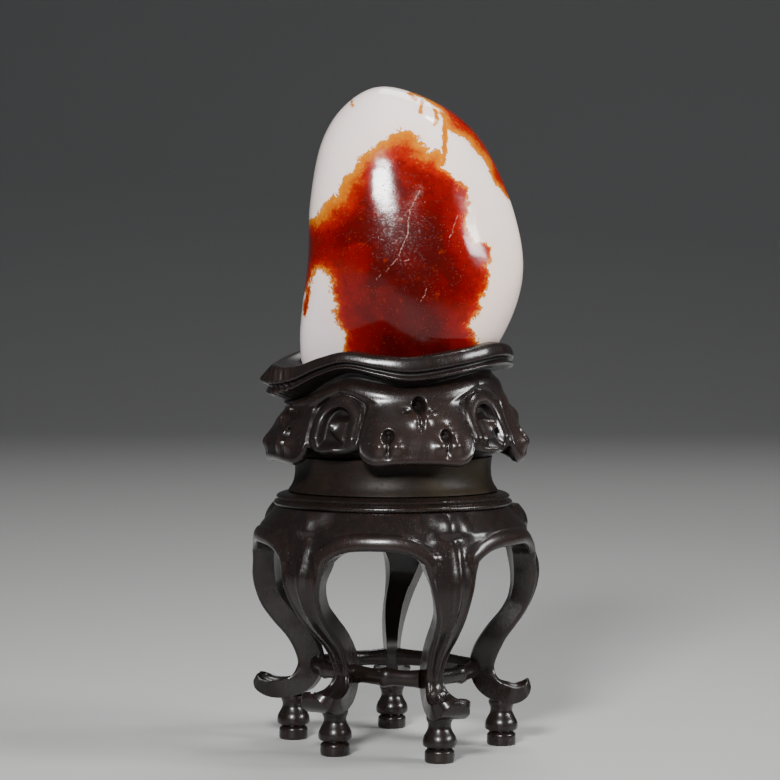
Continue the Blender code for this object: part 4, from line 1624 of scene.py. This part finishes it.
class STAND_OT_turned(Operator):
    """Turns the waist, the top board and the foot under each toe."""

    bl_idname = "stand.turned"
    bl_label = "Turned pieces"

    def execute(self, context):
        look = context.scene.stand_look
        axis = [(0.0, 0.0, 0.0)]
        wood = wood_finish("waxed_wood_waist", look, (0.5, 1.0, 1.0), olive_and_light=0.75, matt=0.18, shine=0.14)
        profile = smooth_path(WAIST_PROFILE, WAIST_POINTS)
        waist = turn_piece("coved_waist", profile, wood, axis, WAIST_ROWS, WAIST_COLUMNS)
        place(waist, "dark_hardwood", "waist")
        wood = wood_finish("waxed_wood_board", look, (0.4, 1.0, 1.0), olive_and_light=0.15)
        profile = smooth_path(BOARD_PROFILE, BOARD_POINTS)
        board = turn_piece("moulded_board", profile, wood, axis, BOARD_ROWS, BOARD_COLUMNS)
        place(board, "dark_hardwood", "top_board")
        wood = wood_finish("waxed_wood_feet", look, (1.0, 1.0, 0.4))
        profile = smooth_path(FOOT_PROFILE, FOOT_POINTS)
        stations = [(foot_x, foot_y, 0.0) for _, foot_x, foot_y, _, _ in LEGS]
        feet = turn_piece("turned_feet", profile, wood, stations, FOOT_ROWS, look.foot_columns)
        place(feet, "dark_hardwood", *(f"foot_{i + 1}" for i in range(len(LEGS))))
        return {"FINISHED"}


def leg_place(leg, radius, across, height, level, spread):
    """Points of a leg. Below the knee it leans from its shoulder's angle to its own foot and toe.

    The level sets how far it leans. The spread is the angle from the leg's middle, used above the lean.
    """
    angle, foot_x, foot_y, toe_angle, toe_length = leg
    upper = around(angle + spread, radius, height)
    turn = math.radians(toe_angle)
    outward = radius - FOOT_RING
    outward = outward * np.where(outward > 0, toe_length, 1.0)
    x = foot_x + outward * math.sin(turn) + across * math.cos(turn)
    y = foot_y - outward * math.cos(turn) + across * math.sin(turn)
    lower = np.stack([x, y, height], axis=-1)
    share = rise(LEAN_TOP, LEAN_BOTTOM, level)[..., None]
    return upper + (lower - upper) * share


def leg_outline():
    """Stations of a leg, evenly fine. Its sides leave the aprons at the last of the upper rows."""
    fine = smooth_path(LEG_STATIONS, LEG_SAMPLES)
    split = int(np.argmax(fine[:, 1] < ARCH_FOOT))
    top = fine[: split + 1]
    top = top[np.argsort(top[:, 1])]
    heights = np.linspace(APRON_TOP, ARCH_FOOT, LEG_UPPER_ROWS)
    upper = np.stack([np.interp(heights, top[:, 1], column) for column in top.T], axis=1)
    picks = np.linspace(0, 1, LEG_LOWER_ROWS + 1)[1:]
    lower = fine[np.round(split + (len(fine) - 1 - split) * picks).astype(int)]
    return np.vstack([upper, lower])


def arch_height(share):
    """Height of an apron's arched edge, from its middle (0) to a leg (1)."""
    return ARCH_FOOT + ARCH_RISE * (1 - np.abs(share) ** ARCH_POWER)


def edge_roll(edge, level, height):
    """The raised roll beside an opening's edge: broad along the arch, a thin bead down the legs."""
    broad = rise(*BEAD_BROADENS, level)
    width = BEAD_WIDTH + ROLL_WIDENING * broad
    strength = BEAD_STRENGTH + (1 - BEAD_STRENGTH) * broad
    across = (edge - width / 2) / (width / 2)
    roll = np.sqrt(np.clip(1 - across**2, 0.0, 1.0))
    soft = -0.2 * hump(edge, 0.28)
    return height * strength * roll + soft


def frame_radius(angle, height, leg_radius):
    """Radius of the frame's plain face, from the legs' own to the aprons' between them."""
    away = np.full(np.shape(angle), 360.0)
    for leg in LEGS:
        away = np.minimum(away, np.abs(from_nearest(angle, leg[0], 360)))
    share = rise(*SHOULDER_ENDS, away) * rise(APRONS_GONE, ARCH_FOOT, height)
    return leg_radius + (smooth_value(APRON_PROFILE, height) - leg_radius) * share


def next_angle(leg):
    """Angle of the shoulder that follows a leg's own, past 360 after the last."""
    following = LEGS[(LEGS.index(leg) + 1) % len(LEGS)][0]
    return following + (360 if following < leg[0] else 0)


class LegForm:
    """What every leg has in common: its rows from the board down to the toe, and its openings' edges."""

    def __init__(self):
        rows = leg_outline()
        self.radius, self.level, self.half_width, self.thickness, self.crown = rows.T
        self.seam = np.degrees(self.half_width / self.radius)
        self.split = LEG_UPPER_ROWS - 1
        along = np.gradient(rows[:, :2], axis=0)
        along /= np.linalg.norm(along, axis=1)[:, None]
        square = np.stack([-along[:, 1], along[:, 0]], axis=1)
        down = rise(*FACE_TILTS, self.level)[:, None]
        self.inward = square * down + np.array((1.0, 0.0)) * (1 - down)
        self.inward /= np.linalg.norm(self.inward, axis=1)[:, None]
        self.openings = [self.opening(leg) for leg in LEGS]

    def opening(self, leg):
        """Edge of the opening after a leg, unrolled: up its side, along the arch, and down the next leg."""
        low = self.level[self.split :] > OPENING_BOTTOM
        height = self.level[self.split :][low]
        seam = self.seam[self.split :][low]
        left = np.radians(leg[0] + seam) * UNROLLED_RADIUS
        right = np.radians(next_angle(leg) - seam) * UNROLLED_RADIUS
        steps = eased(OPENING_STEPS)
        across = (left[0] + right[0]) / 2 + (right[0] - left[0]) / 2 * steps
        arch = np.stack([across, arch_height(steps)], axis=1)
        up = np.stack([left, height], axis=1)[::-1]
        return np.vstack([up, arch, np.stack([right, height], axis=1)])

    def edge_distance(self, angle, height):
        """Distance of points on the frame's face from the nearest opening's edge."""
        across = np.radians(angle) * UNROLLED_RADIUS
        spots = np.stack([across.reshape(-1), height.reshape(-1)], axis=1)
        nearest = np.full(len(spots), np.inf)
        for line in self.openings:
            for turn in (-1, 0, 1):
                shift = turn * math.tau * UNROLLED_RADIUS
                if abs(line[:, 0].mean() + shift - spots[:, 0].mean()) < OPENING_NEARBY:
                    nearest = np.minimum(nearest, distance_to_line(spots, line + (shift, 0.0)))
        return nearest.reshape(across.shape)


def leg_relief(form, leg, share, roll):
    """How far a leg's face is raised over its plain form, and how worn that leaves it."""
    high = np.broadcast_to(form.level[:, None], (len(form.level), len(share)))
    half_width, radius = form.half_width[:, None], form.radius[:, None]
    edge = form.edge_distance(leg[0] + np.degrees(half_width * share / radius), high)
    own_edge = (1 - np.abs(share)) * half_width
    edge = edge + (own_edge - edge) * rise(*BEAD_LEAVES_OPENING, high)
    aside = RIDGE_ASIDE * rise(*RIDGE_ASIDE_BELOW, high) * rise(*RIDGE_ASIDE_ABOVE, high)
    ridge = hump(share - aside, RIDGE_WIDTH + RIDGE_WIDENING * rise(*RIDGE_WIDENS, high))
    lift = form.crown[:, None] * ((1 - RIDGE_SHARE) * (1 - share**2) + RIDGE_SHARE * ridge)
    bead = edge_roll(edge, high, roll) * rise(*BEAD_STARTS, high)
    lip = LIP_HEIGHT * hump(np.abs(share) - LIP_SHARE, 0.13) * rise(*LIPS_START, high)
    lip = lip * rise(*LIPS_START_OUTSIDE, radius)
    worn = bead * 0.9 + lip + 0.35 * hump(share, 0.3) * rise(*RIDGE_WEARS, high) - 0.2
    return lift + bead + lip, worn


def leg_grids(form, leg, roll):
    """The faces of a leg as grids of points, each with the relief on it."""
    share = eased(LEG_COLUMNS)
    raised, worn = leg_relief(form, leg, share, roll)
    radius, level = form.radius[:, None], form.level[:, None]
    across = form.half_width[:, None] * share
    spread = np.degrees(across / radius)
    high = np.broadcast_to(level, across.shape)
    out, up = form.inward[:, :1], form.inward[:, 1:]
    face_radius = frame_radius(leg[0] + spread, high, radius) + out * raised
    face_height = np.minimum(high + up * raised, APRON_TOP)
    outer = leg_place(leg, face_radius, across, face_height, high, spread)
    narrow = 1 - (1 - LEG_BACK_WIDTH) * rise(*BACK_NARROWS, level)
    hollow = np.broadcast_to(form.thickness[:, None], across.shape)
    back_radius = radius - out * hollow
    back_height = np.minimum(high - up * hollow, APRON_TOP)
    back_across = narrow * across * back_radius / radius
    inner = leg_place(leg, back_radius, back_across, back_height, high, spread * narrow)
    grids = [(outer, worn), (inner, INNER_RELIEF)]
    steps = np.linspace(0, 1, LEG_SIDE_COLUMNS)[None, :, None]
    for column in (0, -1):
        start, end = outer[form.split :, column][:, None], inner[form.split :, column][:, None]
        grids.append((start + (end - start) * steps, SIDE_RELIEF))
    grids.append((np.stack([outer[0], inner[0]]), INNER_RELIEF))
    grids.append((across_wall(outer[-1], inner[-1]), INNER_RELIEF))
    return grids


def apron_grids(form, leg, roll):
    """The faces of the apron after a leg as grids of points, each with the relief on it."""
    upper = slice(0, form.split + 1)
    level = form.level[upper]
    steps = eased(APRON_COLUMNS)
    start, end = leg[0] + form.seam[upper], next_angle(leg) - form.seam[upper]
    angle = (start + end)[:, None] / 2 + (end - start)[:, None] / 2 * steps
    drop = (APRON_TOP - arch_height(steps)) / (APRON_TOP - ARCH_FOOT)
    height = APRON_TOP - (APRON_TOP - level)[:, None] * drop
    order = np.argsort(level)
    plain = np.interp(height, level[order], form.radius[upper][order])
    deep = np.interp(height, level[order], form.thickness[upper][order])
    bead = edge_roll(form.edge_distance(angle, height), height, roll)
    outer = around(angle, frame_radius(angle, height, plain) + bead, height)
    inner = around(angle, plain - deep, height)
    return [
        (outer, bead * 0.9 - 0.15),
        (inner, INNER_RELIEF),
        (across_wall(outer[-1], inner[-1]), EDGE_RELIEF),
        (np.stack([outer[0], inner[0]]), INNER_RELIEF),
    ]


def across_wall(outer, inner):
    """A grid of points across the wood from an outer line to an inner one."""
    steps = np.linspace(0, 1, LEG_SIDE_COLUMNS)[:, None, None]
    return outer + (inner - outer) * steps


class STAND_OT_legs(Operator):
    """Carves the five legs and the aprons between them as one continuous frame."""

    bl_idname = "stand.legs"
    bl_label = "Legs and aprons"

    def execute(self, context):
        look = context.scene.stand_look
        roll = look.roll_height / MILLIMETRE
        form = LegForm()
        points, faces, carving = [], [], []
        for leg in LEGS:
            for grid, relief in (*leg_grids(form, leg, roll), *apron_grids(form, leg, roll)):
                rows, columns = grid.shape[:2]
                faces.extend(grid_faces(rows, columns, start=sum(map(len, points))))
                points.append(grid.reshape(-1, 3))
                carving.append(np.broadcast_to(relief, (rows, columns)).reshape(-1))
        material = wood_finish("waxed_wood_legs", look, (1.0, 1.0, 0.25))
        attributes = {"carving": np.concatenate(carving)}
        points = np.concatenate(points)
        piece = finish_mesh("carved_leg_frame", points, faces, material, FRAME_SHARP_ANGLE, attributes)
        nodes = [f"{kind}_{i + 1}" for kind in ("leg", "apron") for i in range(len(LEGS))]
        place(piece, "dark_hardwood", *nodes)
        return {"FINISHED"}


class STAND_OT_stretchers(Operator):
    """Sweeps the five stretchers between the ankles."""

    bl_idname = "stand.stretchers"
    bl_label = "Stretchers"

    def execute(self, context):
        look = context.scene.stand_look
        curve = bpy.data.curves.new("stretcher_paths", "CURVE")
        curve.dimensions = "3D"
        radius, height = np.array(STRETCHER_RADIUS), np.array(STRETCHER_HEIGHT)
        share = np.linspace(0, 1, STRETCHER_PATH_POINTS)[:, None]
        for first, second in zip(LEGS, LEGS[1:] + LEGS[:1]):
            start = leg_place(first, radius, ANKLE_HALF_WIDTH, height, 0.0, 0.0)
            end = leg_place(second, radius, -ANKLE_HALF_WIDTH, height, 0.0, 0.0)
            along = end - start
            bow = STRETCHER_BOW * np.sin(math.pi * share) * np.array((along[1], -along[0], 0.0))
            path = (start + along * share + bow) * MILLIMETRE + np.array(AXIS)
            spline = curve.splines.new("POLY")
            spline.points.add(len(path) - 1)
            spline.points.foreach_set("co", np.column_stack([path, np.ones(len(path))]).reshape(-1))
        source = bpy.data.objects.new("stretcher_paths", curve)
        material = wood_finish("waxed_wood_stretchers", look, (0.4, 0.4, 1.0))
        tree = stretcher_tree("stretcher_sweep", material)
        sizes = {
            "Half width": look.stretcher_size,
            "Tallness": STRETCHER_TALLNESS,
            "Steps": STRETCHER_STEPS,
            "Sides": STRETCHER_SIDES,
        }
        piece = run_tree("ankle_stretchers", source, tree, sizes)
        piece.data.attributes.new("carving", "FLOAT", "POINT")
        place(piece, "dark_hardwood", *(f"stretcher_{i + 1}" for i in range(len(LEGS))))
        return {"FINISHED"}


def add_softbox(name, angle, tilt, distance, width, height, spread, power):
    """A soft rectangular light aimed at the middle of the object."""
    target = AXIS + Vector((0, 0, LIGHTS_AIM))
    light = bpy.data.lights.new(name, "AREA")
    light.shape = "RECTANGLE"
    light.size = width
    light.size_y = height
    light.energy = power
    light.spread = math.radians(spread)
    lamp = bpy.data.objects.new(name, light)
    lamp.location = target + Vector(facing(angle, tilt)) * distance
    lamp.rotation_euler = (target - lamp.location).to_track_quat("-Z", "Y").to_euler()
    bpy.context.scene.collection.objects.link(lamp)


def add_floor(look):
    """A pale floor that curves up behind into a wall."""
    bend = np.radians(np.linspace(0, 90, FLOOR_BEND_STEPS))
    curve = zip(FLOOR_BACK + FLOOR_BEND * np.sin(bend), FLOOR_BEND - FLOOR_BEND * np.cos(bend))
    line = [(FLOOR_FRONT, 0.0), *curve, (FLOOR_BACK + FLOOR_BEND, WALL_HEIGHT)]
    corners = [(x, y, z) for y, z in line for x in (-FLOOR_HALF_WIDTH, FLOOR_HALF_WIDTH)]
    mesh = bpy.data.meshes.new("studio_floor")
    mesh.from_pydata(corners, [], grid_faces(len(line), 2))
    mesh.shade_smooth()
    mesh.materials.append(floor_finish(look.floor))
    floor = bpy.data.objects.new("studio_floor", mesh)
    bpy.context.scene.collection.objects.link(floor)


def add_camera(look):
    """The camera that took the photograph."""
    lens = bpy.data.cameras.new("photograph_camera")
    lens.sensor_width = SENSOR_WIDTH
    lens.lens = look.lens
    lens.clip_start = 0.01
    camera = bpy.data.objects.new("photograph_camera", lens)
    camera.location = AXIS + Vector((CAMERA_ASIDE, -look.distance, look.height))
    camera.rotation_euler = (math.pi / 2 - look.tilt, 0, 0)
    bpy.context.scene.collection.objects.link(camera)
    bpy.context.scene.camera = camera


class STUDIO_OT_stage(Operator):
    """Sets up the pale floor, the soft lights and the camera."""

    bl_idname = "studio.stage"
    bl_label = "Studio"

    def execute(self, context):
        look = context.scene.studio_look
        add_floor(look)
        for name, *sizes in SOFTBOXES:
            add_softbox(f"{name}_softbox", *sizes, power=getattr(look, f"{name}_power"))
        world = bpy.data.worlds.new("studio_room")
        world.use_nodes = True
        background = world.node_tree.nodes["Background"]
        background.inputs["Color"].default_value = ROOM_COLOUR
        background.inputs["Strength"].default_value = look.surroundings
        context.scene.world = world
        add_camera(look)
        return {"FINISHED"}


class VIEW3D_PT_pebble(Panel):
    """Lists the pieces and the sizes and colours that they are made with."""

    bl_label = "Jade pebble"
    bl_space_type = "VIEW_3D"
    bl_region_type = "UI"
    bl_category = "Jade pebble"

    def draw(self, context):
        scene = context.scene
        stand = (STAND_OT_seat, STAND_OT_turned, STAND_OT_legs, STAND_OT_stretchers)
        self.draw_group("Pebble", scene.pebble_look, (PEBBLE_OT_stone,))
        self.draw_group("Stand", scene.stand_look, stand)
        self.draw_group("Studio", scene.studio_look, (STUDIO_OT_stage,))

    def draw_group(self, title, look, operators):
        box = self.layout.box()
        box.label(text=title)
        for key in look.__annotations__:
            box.prop(look, key)
        for operator in operators:
            box.operator(operator.bl_idname)


CLASSES = (
    PebbleLook,
    StandLook,
    StudioLook,
    PEBBLE_OT_stone,
    STAND_OT_seat,
    STAND_OT_turned,
    STAND_OT_legs,
    STAND_OT_stretchers,
    STUDIO_OT_stage,
    VIEW3D_PT_pebble,
)


def register():
    for entry in CLASSES:
        bpy.utils.register_class(entry)
    bpy.types.Scene.pebble_look = PointerProperty(type=PebbleLook)
    bpy.types.Scene.stand_look = PointerProperty(type=StandLook)
    bpy.types.Scene.studio_look = PointerProperty(type=StudioLook)


def unregister():
    for entry in reversed(CLASSES):
        bpy.utils.unregister_class(entry)
    del bpy.types.Scene.pebble_look
    del bpy.types.Scene.stand_look
    del bpy.types.Scene.studio_look


def main():
    register()
    bpy.ops.pebble.stone()
    bpy.ops.stand.seat()
    bpy.ops.stand.turned()
    bpy.ops.stand.legs()
    bpy.ops.stand.stretchers()
    bpy.ops.studio.stage()


if __name__ == "__main__":
    main()
